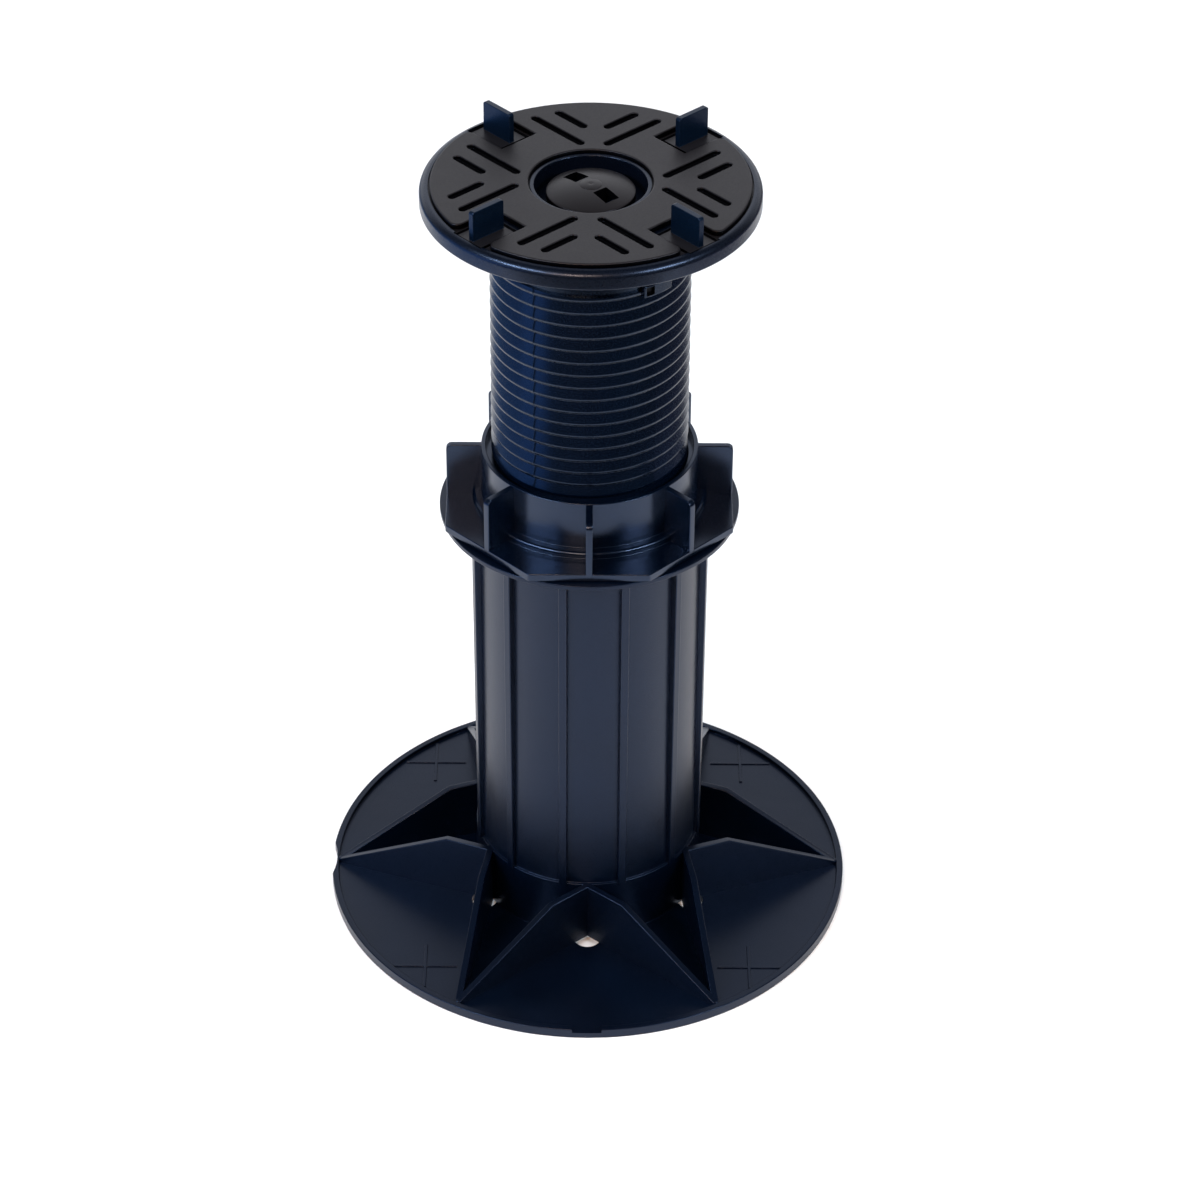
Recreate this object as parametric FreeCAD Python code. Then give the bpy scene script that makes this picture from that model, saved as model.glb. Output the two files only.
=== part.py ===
import FreeCAD, Part
import math
import os

V = FreeCAD.Vector

# Everything is in millimetres. The origin is the centre of the foot's underside, +Z is up, and -Y is the
# side that faces the viewer. Angles are in degrees about +Z, from +X.

# Foot: a round floor with a raised rim
FOOT_RADIUS = 100.0
FLOOR_THICKNESS = 2.5
RIM_HEIGHT = 4.0
RIM_WIDTH = 2.5
SCALLOP_LENGTH = 22.0
SCALLOP_DEPTH = 1.8
SCALLOP_ANGLE = 180.0
RIM_GAP_WIDTH = 11.0
RIM_GAP_ANGLE = 270.0
CROSS_X = 61.5
CROSS_Y = 62.5
CROSS_ARM = 12.0
CROSS_LINE = 1.2
CROSS_RELIEF = 0.4

# Star of stiffening walls around the barrel
STAR_POINTS = 6
STAR_TIP_RADIUS = 96.5
STAR_WALL = 2.5
STAR_HEIGHT = 27.0
STAR_LEVEL_LENGTH = 18.0
STAR_TIP_HEIGHT = 4.2
STAR_ROOT = 2.0
DRAIN_RADIUS = 5.0
DRAIN_CIRCLE = 46.0

# Barrel, moulded in one with the foot
BARREL_HEIGHT = 175.0
BARREL_BORE = 39.2
BARREL_WALL = 3.0
SKIRT_RELIEF = 1.0
RIB_COUNT = 12
RIB_WIDTH = 3.0
RIB_RELIEF = 2.5
RIB_START_ANGLE = 17.5
MOUTH_FLANGE_RADIUS = 55.0
MOUTH_FLANGE_THICKNESS = 2.0

# Adjusting ring: octagon plate, finned collar, spigot and inner thread
RING_SEAT_GAP = 0.3
RING_FLATS = 8
RING_APOTHEM = 52.3
RING_PLATE = 3.0
COLLAR_RADIUS = 39.5
COLLAR_HEIGHT = 21.7
COLLAR_MOUTH_RADIUS = 37.8
COLLAR_MOUTH_DEPTH = 3.0
COLLAR_STEP_WIDTH = 3.2
COLLAR_STEP_HEIGHT = 2.6
COLLAR_STEP_CHAMFER = 1.0
FIN_HEIGHT = 21.2
FIN_THICKNESS = 2.5
FIN_CORNER = 2.0
SPIGOT_LENGTH = 8.0
SPIGOT_CLEARANCE = 0.3

# Thread of stem and ring: long flank above the crest, short flank under it, right-handed
THREAD_PITCH = 5.1
THREAD_ROOT = 34.7
THREAD_CREST = 36.0
THREAD_UNDERCUT = 1.2
THREAD_CLEARANCE = 0.3
THREAD_RUNOUT = 0.8
THREAD_END_ANGLE = -60.0
RING_THREAD_TURNS = 3
RING_RELIEF = 0.2

# Stem: a tube closed by a crown
STEM_EXPOSED = 94.5
STEM_LENGTH = 134.5
STEM_BORE = 31.5
STEM_TOP_WALL = 3.0
THREAD_TO_SHOULDER = 11.9
STOP_LUG_WIDTH = 12.0
STOP_LUG_HEIGHT = 4.4
STOP_LUG_RADIUS = 37.4
CROWN_RADIUS = 44.4
CROWN_FOOT_MARGIN = 2.88
CROWN_HOLE_CLEARANCE = 0.4

# Head plate
HEAD_RADIUS = 60.0
HEAD_ABOVE_SHOULDER = 13.8
HEAD_RIM_HEIGHT = 7.0
HEAD_SKIN = 3.0
HEAD_RIM_WALL = 2.5
HEAD_TOP_ROUNDING = 2.6
HEAD_BOTTOM_CHAMFER = 0.6
HEAD_BORE = 19.9
HUB_WALL = 2.5
HEAD_RIB_COUNT = 12
HEAD_RIB_THICKNESS = 2.0
HEAD_RIB_SETBACK = 0.8
HEAD_TURN = -2.3
JOINT_GAP = 0.3
WEB_THICKNESS = 2.5
WEB_HOLE_CLEARANCE = 0.6
TILT_LIMIT = 2.86

# Domed retainer that clips through head and crown
DOME_RADIUS = 15.7
DOME_THICKNESS = 2.7
DOME_GATE_RADIUS = 3.9
DOME_GATE_RELIEF = 0.25
CLIP_TURN = 130.0
CLIP_INNER = 2.5
CLIP_THICKNESS = 2.2
CLIP_WIDTH = 6.0
CLIP_BARB = 3.6
CLIP_BARB_HEIGHT = 2.6
CLIP_BARB_SLOPE = 1.6
CLIP_TIP = 1.0
CLIP_WINDOW = 7.0
CLIP_CLEARANCE = 0.3
DOME_WINDOW_DROP = 3.0

# Pad, lying in a shallow seat in the head
PAD_RADIUS = 56.3
PAD_BORE = 21.8
PAD_THICKNESS = 2.1
PAD_SEAT_DEPTH = 0.8
PAD_SEAT_CLEARANCE = 0.4
PAD_EDGE_CHAMFER = 0.4
NOTCH_INNER = 37.8
NOTCH_WIDTH = 15.6
NOTCH_CORNER = 3.0
GROOVE_WIDTH = 3.0
GROOVE_DEPTH = 1.7
LONG_GROOVE_START = 20.6
LONG_GROOVE_LENGTH = 26.8
LONG_GROOVE_OFFSET = 15.2
SHORT_GROOVE_START = 28.8
SHORT_GROOVE_LENGTH = 15.8
SHORT_GROOVE_OFFSET = 24.1

# Spacer tabs that stand in the pad's notches
TAB_COUNT = 4
TAB_FIRST_ANGLE = 45.0
TAB_FOOT_INNER = 40.7
TAB_FOOT_LENGTH = 15.5
TAB_FOOT_WIDTH = 11.8
TAB_FOOT_THICKNESS = 1.2
TAB_SEAT_CLEARANCE = 0.3
TAB_BLADE_LENGTH = 14.0
TAB_BLADE_THICKNESS = 2.2
TAB_BLADE_HEIGHT = 10.3
TAB_BLADE_CORNER = 1.0
TAB_PEG_RADIUS = 2.0
TAB_PEG_LENGTH = 2.7

# Places that follow from the sizes above
WALL_RADIUS = BARREL_BORE + BARREL_WALL
SKIRT_RADIUS = WALL_RADIUS + SKIRT_RELIEF
RIB_RADIUS = WALL_RADIUS + RIB_RELIEF
RING_UNDERSIDE = BARREL_HEIGHT + RING_SEAT_GAP
RING_TOP = RING_UNDERSIDE + RING_PLATE
COLLAR_TOP = RING_TOP + COLLAR_HEIGHT
SHOULDER = COLLAR_TOP + STEM_EXPOSED
STEM_BOTTOM = SHOULDER - STEM_LENGTH
HUB_RADIUS = HEAD_BORE + HUB_WALL
CROWN_FOOT_RADIUS = HUB_RADIUS + CROWN_FOOT_MARGIN
CENTRE = SHOULDER - math.sqrt(CROWN_RADIUS ** 2 - CROWN_FOOT_RADIUS ** 2)
CROWN_INNER = CROWN_RADIUS - STEM_TOP_WALL
THREAD_TOP = SHOULDER - THREAD_TO_SHOULDER - THREAD_UNDERCUT
HEAD_TOP = SHOULDER + HEAD_ABOVE_SHOULDER
PAD_SEAT = HEAD_TOP - PAD_SEAT_DEPTH
PAD_TOP = PAD_SEAT + PAD_THICKNESS
WEB_INNER = CROWN_RADIUS + JOINT_GAP
WEB_OUTER = WEB_INNER + WEB_THICKNESS
DOME_INNER = WEB_OUTER + JOINT_GAP
DOME_OUTER = DOME_INNER + DOME_THICKNESS
CLIP_OUTER = CLIP_INNER + CLIP_THICKNESS
CLIP_CORNER_RADIUS = math.hypot(CLIP_OUTER, CLIP_WIDTH / 2.0)
CROWN_HOLE = CLIP_CORNER_RADIUS + CROWN_HOLE_CLEARANCE
TILT_TRAVEL = WEB_OUTER * math.sin(math.radians(TILT_LIMIT))
WEB_HOLE = CLIP_CORNER_RADIUS + TILT_TRAVEL + WEB_HOLE_CLEARANCE
DOME_FLAT_RADIUS = WEB_HOLE - TILT_TRAVEL - JOINT_GAP

# Length by which a cutting tool reaches past the face that it opens
REACH = 1.0

# Distance within which two places count as the same
SAME = 0.001


def polar(radius, angle, z=0.0):
    a = math.radians(angle)
    return V(radius * math.cos(a), radius * math.sin(a), z)


def turned_about_axis(shape, angle):
    copy = shape.copy()
    copy.rotate(V(0, 0, 0), V(0, 0, 1), angle)
    return copy


def copies_around(shape, count, first=0.0):
    return [turned_about_axis(shape, first + 360.0 * i / count) for i in range(count)]


def disc(radius, low, high):
    return Part.makeCylinder(radius, high - low, V(0, 0, low))


def tube(inner, outer, low, high):
    return disc(outer, low, high).cut(disc(inner, low - REACH, high + REACH))


def block(x0, x1, y0, y1, z0, z1):
    return Part.makeBox(x1 - x0, y1 - y0, z1 - z0, V(x0, y0, z0))


def revolved(edges):
    face = Part.Face(Part.Wire(edges))
    return face.revolve(V(0, 0, 0), V(0, 0, 1), 360.0)


def lines(points):
    return [Part.makeLine(points[i], points[i + 1]) for i in range(len(points) - 1)]


def corner_arc(start, corner, end):
    """Quarter round between two points whose tangents meet square at the corner."""
    centre = start + end - corner
    middle = centre + (corner - centre).normalize() * (start - centre).Length
    return Part.Arc(start, middle, end).toShape()


def on_sphere(radius, r):
    """Point of the vertical section at distance r from the axis, on a sphere about the tilt centre."""
    return V(r, 0, CENTRE + math.sqrt(radius * radius - r * r))


def sphere_arc(radius, r_from, r_to):
    middle = on_sphere(radius, (r_from + r_to) / 2.0)
    return Part.Arc(on_sphere(radius, r_from), middle, on_sphere(radius, r_to)).toShape()


# Foot

def foot_disc():
    inner = FOOT_RADIUS - RIM_WIDTH
    section = lines([
        V(0, 0, 0), V(FOOT_RADIUS, 0, 0), V(FOOT_RADIUS, 0, RIM_HEIGHT), V(inner, 0, RIM_HEIGHT),
        V(inner, 0, FLOOR_THICKNESS), V(0, 0, FLOOR_THICKNESS), V(0, 0, 0)])
    return revolved(section)


def rim_scallop():
    half = SCALLOP_LENGTH / 2.0
    radius = (half * half + SCALLOP_DEPTH * SCALLOP_DEPTH) / (2.0 * SCALLOP_DEPTH)
    centre = polar(FOOT_RADIUS - SCALLOP_DEPTH + radius, SCALLOP_ANGLE, -REACH)
    return Part.makeCylinder(radius, RIM_HEIGHT + 2.0 * REACH, centre)


def rim_gap():
    half = RIM_GAP_WIDTH / 2.0
    gap = block(FOOT_RADIUS - RIM_WIDTH - REACH, FOOT_RADIUS + REACH, -half, half,
                FLOOR_THICKNESS, RIM_HEIGHT + REACH)
    return turned_about_axis(gap, RIM_GAP_ANGLE)


def setting_out_crosses():
    """Thin raised crosses that mark the centres of slab corners."""
    arms = []
    for sx in (-1, 1):
        for sy in (-1, 1):
            x = sx * CROSS_X
            y = sy * CROSS_Y
            half = CROSS_LINE / 2.0
            top = FLOOR_THICKNESS + CROSS_RELIEF
            low = FLOOR_THICKNESS / 2.0
            arms.append(block(x - CROSS_ARM, x + CROSS_ARM, y - half, y + half, low, top))
            arms.append(block(x - half, x + half, y - CROSS_ARM, y + CROSS_ARM, low, top))
    return arms


def star_wall(vertex_angle, tip_angle):
    """Upright wall from the barrel to a star tip: level at first, then sloping down to the rim."""
    start = polar(SKIRT_RADIUS, vertex_angle)
    tip = polar(STAR_TIP_RADIUS, tip_angle)
    along = (tip - start).normalize()
    length = (tip - start).Length
    low = FLOOR_THICKNESS / 2.0
    half = STAR_WALL / 2.0
    outline = Part.makePolygon([
        V(-STAR_ROOT, -half, low), V(length, -half, low), V(length, -half, STAR_TIP_HEIGHT),
        V(STAR_LEVEL_LENGTH, -half, STAR_HEIGHT), V(-STAR_ROOT, -half, STAR_HEIGHT),
        V(-STAR_ROOT, -half, low)])
    wall = Part.Face(outline).extrude(V(0, STAR_WALL, 0))
    wall.rotate(V(0, 0, 0), V(0, 0, 1), math.degrees(math.atan2(along.y, along.x)))
    wall.translate(start)
    return wall


def star_walls():
    step = 360.0 / STAR_POINTS
    walls = []
    for i in range(STAR_POINTS):
        tip_angle = i * step
        walls.append(star_wall(tip_angle - step / 2.0, tip_angle))
        walls.append(star_wall(tip_angle + step / 2.0, tip_angle))
        walls.append(Part.makeCylinder(STAR_WALL / 2.0, STAR_TIP_HEIGHT - FLOOR_THICKNESS / 2.0,
                                       polar(STAR_TIP_RADIUS, tip_angle, FLOOR_THICKNESS / 2.0)))
    return walls


def drains():
    half_step = 180.0 / STAR_POINTS
    hole = Part.makeCylinder(DRAIN_RADIUS, FLOOR_THICKNESS + REACH, V(DRAIN_CIRCLE, 0, -REACH))
    return copies_around(hole, STAR_POINTS, half_step)


# Barrel

def barrel_body():
    flange_low = BARREL_HEIGHT - MOUTH_FLANGE_THICKNESS
    bottom = FLOOR_THICKNESS / 2.0
    section = lines([
        V(BARREL_BORE, 0, bottom), V(SKIRT_RADIUS, 0, bottom), V(SKIRT_RADIUS, 0, STAR_HEIGHT),
        V(WALL_RADIUS, 0, STAR_HEIGHT), V(WALL_RADIUS, 0, flange_low),
        V(MOUTH_FLANGE_RADIUS, 0, flange_low), V(MOUTH_FLANGE_RADIUS, 0, BARREL_HEIGHT),
        V(BARREL_BORE, 0, BARREL_HEIGHT), V(BARREL_BORE, 0, bottom)])
    return revolved(section)


def barrel_ribs():
    half = RIB_WIDTH / 2.0
    flange_low = BARREL_HEIGHT - MOUTH_FLANGE_THICKNESS
    outer = disc(RIB_RADIUS, STAR_HEIGHT, flange_low)
    strip = block(WALL_RADIUS - BARREL_WALL / 2.0, RIB_RADIUS + REACH, -half, half,
                  STAR_HEIGHT, flange_low)
    return copies_around(strip.common(outer), RIB_COUNT, RIB_START_ANGLE)


def base_foot():
    body = foot_disc().fuse([barrel_body()] + star_walls() + barrel_ribs() + setting_out_crosses())
    body = body.cut(drains() + [rim_scallop(), rim_gap()])
    return body.removeSplitter()


# Thread

def helix_turn(radius, z):
    edge = Part.makeHelix(THREAD_PITCH, THREAD_PITCH, radius).Edges[0]
    edge.translate(V(0, 0, z))
    return edge


def thread_end(root, crest, z):
    return Part.Face(Part.makePolygon([
        V(root, 0, z), V(crest, 0, z + THREAD_UNDERCUT), V(root, 0, z + THREAD_PITCH), V(root, 0, z)]))


def threaded_bar(root, crest, low, high):
    """Threaded bar, faced flat at low and high. Its crest passes through the thread's upper end."""
    first = THREAD_TOP - (math.ceil((THREAD_TOP - low) / THREAD_PITCH) + 1) * THREAD_PITCH
    turns = math.ceil((high - first) / THREAD_PITCH)
    last = first + THREAD_PITCH * turns
    roots = [helix_turn(root, first + THREAD_PITCH * i) for i in range(turns + 1)]
    crests = [helix_turn(crest, first + THREAD_UNDERCUT + THREAD_PITCH * i) for i in range(turns)]
    ends = (first - REACH, first, last + THREAD_PITCH, last + THREAD_PITCH + REACH)
    rings = [Part.makeCircle(root, V(0, 0, z)) for z in ends]
    faces = [Part.Face(Part.Wire(rings[0])), Part.Face(Part.Wire(rings[3]))]
    faces += [Part.makeRuledSurface(rings[0], rings[1]), Part.makeRuledSurface(rings[1], roots[0])]
    for i in range(turns):
        faces.append(Part.makeRuledSurface(roots[i], crests[i]))
        faces.append(Part.makeRuledSurface(crests[i], roots[i + 1]))
    faces += [Part.makeRuledSurface(roots[turns], rings[2]), Part.makeRuledSurface(rings[2], rings[3])]
    faces += [thread_end(root, crest, first), thread_end(root, crest, last)]
    skin = Part.makeCompound(faces)
    skin.sewShape()
    bar = Part.Solid(skin.Shells[0])
    if bar.Volume < 0:
        bar.reverse()
    return turned_about_axis(bar, THREAD_END_ANGLE).common(disc(crest + REACH, low, high))


# Adjusting ring

def ring_plate():
    corner = RING_APOTHEM / math.cos(math.pi / RING_FLATS)
    step = 360.0 / RING_FLATS
    points = [polar(corner, step * (i + 0.5), RING_UNDERSIDE) for i in range(RING_FLATS + 1)]
    return Part.Face(Part.makePolygon(points)).extrude(V(0, 0, RING_PLATE))


def ring_collar():
    """Spigot, relieved bore, collar with its opened mouth, and the step at the collar's foot."""
    spigot = BARREL_BORE - SPIGOT_CLEARANCE
    low = RING_UNDERSIDE - SPIGOT_LENGTH
    plate_middle = RING_UNDERSIDE + RING_PLATE / 2.0
    step_radius = COLLAR_RADIUS + COLLAR_STEP_WIDTH
    step_top = RING_TOP + COLLAR_STEP_HEIGHT
    mouth_low = COLLAR_TOP - COLLAR_MOUTH_DEPTH
    thread_low = mouth_low - RING_THREAD_TURNS * THREAD_PITCH
    relief = THREAD_CREST + THREAD_CLEARANCE + RING_RELIEF
    blank_bore = THREAD_ROOT - REACH
    section = lines([
        V(relief, 0, low), V(spigot, 0, low), V(spigot, 0, plate_middle), V(step_radius, 0, plate_middle),
        V(step_radius, 0, step_top - COLLAR_STEP_CHAMFER), V(step_radius - COLLAR_STEP_CHAMFER, 0, step_top),
        V(COLLAR_RADIUS, 0, step_top), V(COLLAR_RADIUS, 0, COLLAR_TOP), V(COLLAR_MOUTH_RADIUS, 0, COLLAR_TOP),
        V(COLLAR_MOUTH_RADIUS, 0, mouth_low), V(blank_bore, 0, mouth_low), V(blank_bore, 0, thread_low),
        V(relief, 0, thread_low), V(relief, 0, low)])
    return revolved(section)


def ring_fin():
    half = FIN_THICKNESS / 2.0
    inner = COLLAR_MOUTH_RADIUS + (COLLAR_RADIUS - COLLAR_MOUTH_RADIUS) / 2.0
    low = RING_UNDERSIDE + RING_PLATE / 2.0
    high = RING_TOP + FIN_HEIGHT
    corner = V(RING_APOTHEM, -half, high)
    round_start = corner - V(0, 0, FIN_CORNER)
    round_end = corner - V(FIN_CORNER, 0, 0)
    edges = lines([V(inner, -half, high), V(inner, -half, low), V(RING_APOTHEM, -half, low), round_start])
    edges.append(corner_arc(round_start, corner, round_end))
    edges += lines([round_end, V(inner, -half, high)])
    return Part.Face(Part.Wire(edges)).extrude(V(0, FIN_THICKNESS, 0))


def ring_thread_tool():
    """The stem's thread, enlarged by its clearance and passing right through the ring's threaded part."""
    high = COLLAR_TOP - COLLAR_MOUTH_DEPTH + REACH
    low = COLLAR_TOP - COLLAR_MOUTH_DEPTH - RING_THREAD_TURNS * THREAD_PITCH - REACH
    return threaded_bar(THREAD_ROOT + THREAD_CLEARANCE, THREAD_CREST + THREAD_CLEARANCE, low, high)


def adjusting_ring():
    plate = ring_plate().cut(disc(BARREL_BORE - SPIGOT_CLEARANCE, RING_UNDERSIDE - REACH, RING_TOP + REACH))
    body = ring_collar().fuse([plate] + copies_around(ring_fin(), RING_FLATS))
    return body.removeSplitter().cut(ring_thread_tool())


# Stem

def stem_shell():
    face = THREAD_TOP + THREAD_UNDERCUT + THREAD_RUNOUT
    bar = threaded_bar(THREAD_ROOT, THREAD_CREST, STEM_BOTTOM, face)
    bar = bar.fuse(disc(THREAD_ROOT, face, SHOULDER))
    return bar.cut(disc(STEM_BORE, STEM_BOTTOM - REACH, SHOULDER - STEM_TOP_WALL))


def stem_crown():
    """Spherical cap on the shoulder, hollow underneath, with the hole for the retainer's clips."""
    low = SHOULDER - STEM_TOP_WALL
    inner_foot = math.sqrt(CROWN_INNER ** 2 - (low - CENTRE) ** 2)
    edges = [sphere_arc(CROWN_RADIUS, CROWN_HOLE, CROWN_FOOT_RADIUS)]
    edges += lines([on_sphere(CROWN_RADIUS, CROWN_FOOT_RADIUS), V(CROWN_FOOT_RADIUS, 0, low),
                    V(inner_foot, 0, low)])
    edges.append(sphere_arc(CROWN_INNER, inner_foot, CROWN_HOLE))
    edges += lines([on_sphere(CROWN_INNER, CROWN_HOLE), on_sphere(CROWN_RADIUS, CROWN_HOLE)])
    return revolved(edges)


def crown_hollow():
    """Room under the crown, open to the stem's bore."""
    return Part.makeSphere(CROWN_INNER, V(0, 0, CENTRE)).common(
        disc(STEM_BORE, SHOULDER - STEM_TOP_WALL - REACH, HEAD_TOP))


def stop_lug():
    half = STOP_LUG_WIDTH / 2.0
    low = THREAD_TOP
    high = THREAD_TOP + STOP_LUG_HEIGHT
    root = THREAD_ROOT - STEM_TOP_WALL / 2.0
    lug = block(root, STOP_LUG_RADIUS + REACH, -half, half, low, high)
    lug = lug.common(disc(STOP_LUG_RADIUS, low - REACH, high + REACH))
    width_angle = math.degrees(STOP_LUG_WIDTH / THREAD_CREST)
    return turned_about_axis(lug, THREAD_END_ANGLE + width_angle / 2.0)


def threaded_stem():
    return stem_shell().cut(crown_hollow()).fuse([stem_crown(), stop_lug()]).removeSplitter()


# Head plate

def head_shell():
    """Skin with the pad's seat, rounded rim, hub and the spherical web that rests on the crown."""
    low = HEAD_TOP - HEAD_RIM_HEIGHT
    under = HEAD_TOP - HEAD_SKIN
    top_corner = V(HEAD_RADIUS, 0, HEAD_TOP)
    top_start = top_corner - V(HEAD_TOP_ROUNDING, 0, 0)
    top_end = top_corner - V(0, 0, HEAD_TOP_ROUNDING)
    rim_inner = HEAD_RADIUS - HEAD_RIM_WALL
    seat_inner = PAD_BORE - PAD_SEAT_CLEARANCE
    seat_outer = PAD_RADIUS + PAD_SEAT_CLEARANCE
    edges = lines([
        on_sphere(WEB_OUTER, HEAD_BORE), V(HEAD_BORE, 0, HEAD_TOP), V(seat_inner, 0, HEAD_TOP),
        V(seat_inner, 0, PAD_SEAT), V(seat_outer, 0, PAD_SEAT), V(seat_outer, 0, HEAD_TOP), top_start])
    edges.append(corner_arc(top_start, top_corner, top_end))
    edges += lines([
        top_end, V(HEAD_RADIUS, 0, low + HEAD_BOTTOM_CHAMFER), V(HEAD_RADIUS - HEAD_BOTTOM_CHAMFER, 0, low),
        V(rim_inner, 0, low), V(rim_inner, 0, under), V(HUB_RADIUS, 0, under),
        on_sphere(WEB_INNER, HUB_RADIUS)])
    edges.append(sphere_arc(WEB_INNER, HUB_RADIUS, WEB_HOLE))
    edges += lines([on_sphere(WEB_INNER, WEB_HOLE), on_sphere(WEB_OUTER, WEB_HOLE),
                    on_sphere(WEB_OUTER, HEAD_BORE)])
    return revolved(edges)


def head_ribs():
    half = HEAD_RIB_THICKNESS / 2.0
    rib = block(HEAD_BORE + HUB_WALL / 2.0, HEAD_RADIUS - HEAD_RIM_WALL / 2.0, -half, half,
                HEAD_TOP - HEAD_RIM_HEIGHT + HEAD_RIB_SETBACK, HEAD_TOP - HEAD_SKIN / 2.0)
    return copies_around(rib, HEAD_RIB_COUNT, HEAD_TURN)


def tab_seat():
    """Pocket for a tab's foot, flush with the pad's seat, and the hole for its peg."""
    gap = TAB_SEAT_CLEARANCE
    half = TAB_FOOT_WIDTH / 2.0 + gap
    pocket = block(TAB_FOOT_INNER - gap, TAB_FOOT_INNER + TAB_FOOT_LENGTH + gap, -half, half,
                   PAD_SEAT - TAB_FOOT_THICKNESS, HEAD_TOP + REACH)
    middle = TAB_FOOT_INNER + TAB_FOOT_LENGTH / 2.0
    under = HEAD_TOP - HEAD_SKIN
    hole = Part.makeCylinder(TAB_PEG_RADIUS + gap, HEAD_SKIN + REACH, V(middle, 0, under - REACH))
    return pocket.fuse(hole)


def head_plate():
    body = head_shell().fuse(head_ribs())
    seats = copies_around(tab_seat(), TAB_COUNT, TAB_FIRST_ANGLE + HEAD_TURN)
    return body.cut(seats).removeSplitter()


# Retainer

def dome_cap():
    """Shallow dome whose underside bears on the web as a ring of a sphere and is flat inside that."""
    flat = on_sphere(DOME_INNER, DOME_FLAT_RADIUS)
    edges = [sphere_arc(DOME_OUTER, 0.0, DOME_RADIUS)]
    edges += lines([on_sphere(DOME_OUTER, DOME_RADIUS), on_sphere(DOME_INNER, DOME_RADIUS)])
    edges.append(sphere_arc(DOME_INNER, DOME_RADIUS, DOME_FLAT_RADIUS))
    edges += lines([flat, V(0, 0, flat.z), V(0, 0, CENTRE + DOME_OUTER)])
    return revolved(edges)


def clip_arm():
    """Flat arm down through head and crown, with a barb that catches under the crown."""
    half = CLIP_WIDTH / 2.0
    barb_reach = CLIP_OUTER + CLIP_BARB
    under_crown = on_sphere(CROWN_INNER, math.hypot(barb_reach, half)).z - CLIP_CLEARANCE
    barb_low = under_crown - CLIP_BARB_HEIGHT
    tip = barb_low - CLIP_TIP
    root = on_sphere(DOME_INNER, DOME_FLAT_RADIUS).z + DOME_THICKNESS / 2.0
    outline = Part.makePolygon([
        V(CLIP_INNER, -half, tip), V(CLIP_OUTER, -half, tip),
        V(barb_reach - CLIP_BARB_SLOPE, -half, barb_low),
        V(barb_reach, -half, under_crown - CLIP_BARB_HEIGHT / 2.0), V(barb_reach, -half, under_crown),
        V(CLIP_OUTER, -half, under_crown), V(CLIP_OUTER, -half, root), V(CLIP_INNER, -half, root),
        V(CLIP_INNER, -half, tip)])
    return Part.Face(outline).extrude(V(0, CLIP_WIDTH, 0))


def clip_window():
    half = CLIP_WIDTH / 2.0
    return block(CLIP_OUTER, CLIP_OUTER + CLIP_WINDOW, -half, half,
                 CENTRE + DOME_INNER - DOME_WINDOW_DROP, CENTRE + DOME_OUTER + REACH)


def head_retainer():
    gate_top = CENTRE + DOME_OUTER + DOME_GATE_RELIEF
    gate = disc(DOME_GATE_RADIUS, CENTRE + DOME_INNER + DOME_THICKNESS / 2.0, gate_top)
    cap = dome_cap().fuse(gate)
    cap = cap.cut(copies_around(clip_window(), 2, CLIP_TURN))
    return cap.fuse(copies_around(clip_arm(), 2, CLIP_TURN)).removeSplitter()


# Pad

def is_rim_corner(edge):
    """True for an upright edge where a notch meets the pad's outer rim."""
    box = edge.BoundBox
    upright = box.ZLength > SAME and box.XLength < SAME and box.YLength < SAME
    return upright and abs(math.hypot(box.Center.x, box.Center.y) - PAD_RADIUS) < SAME


def pad_blank():
    half = NOTCH_WIDTH / 2.0
    notch = block(NOTCH_INNER, PAD_RADIUS + REACH, -half, half, PAD_SEAT - REACH, PAD_TOP + REACH)
    blank = tube(PAD_BORE, PAD_RADIUS, PAD_SEAT, PAD_TOP)
    blank = blank.cut(copies_around(notch, TAB_COUNT, TAB_FIRST_ANGLE + HEAD_TURN))
    return blank.makeFillet(NOTCH_CORNER, [e for e in blank.Edges if is_rim_corner(e)])


def groove(start, length, offset):
    """Round-ended groove along +X, its far edges at start and start + length."""
    half = GROOVE_WIDTH / 2.0
    low = PAD_TOP - GROOVE_DEPTH
    x0 = start + half
    x1 = start + length - half
    a = V(x0, offset - half, low)
    b = V(x1, offset - half, low)
    c = V(x1, offset + half, low)
    d = V(x0, offset + half, low)
    edges = [Part.makeLine(a, b), Part.Arc(b, V(x1 + half, offset, low), c).toShape(),
             Part.makeLine(c, d), Part.Arc(d, V(x0 - half, offset, low), a).toShape()]
    return Part.Face(Part.Wire(edges)).extrude(V(0, 0, GROOVE_DEPTH + REACH))


def grooves():
    beside_tab = []
    for side in (-1, 1):
        beside_tab.append(groove(LONG_GROOVE_START, LONG_GROOVE_LENGTH, side * LONG_GROOVE_OFFSET))
        beside_tab.append(groove(SHORT_GROOVE_START, SHORT_GROOVE_LENGTH, side * SHORT_GROOVE_OFFSET))
    cuts = []
    for shape in beside_tab:
        cuts += copies_around(shape, TAB_COUNT, TAB_FIRST_ANGLE + HEAD_TURN)
    return cuts


def top_pad():
    blank = pad_blank()
    top_edges = [e for e in blank.Edges if e.BoundBox.ZMin > PAD_TOP - SAME]
    return blank.makeChamfer(PAD_EDGE_CHAMFER, top_edges).cut(grooves())


# Spacer tabs

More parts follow.
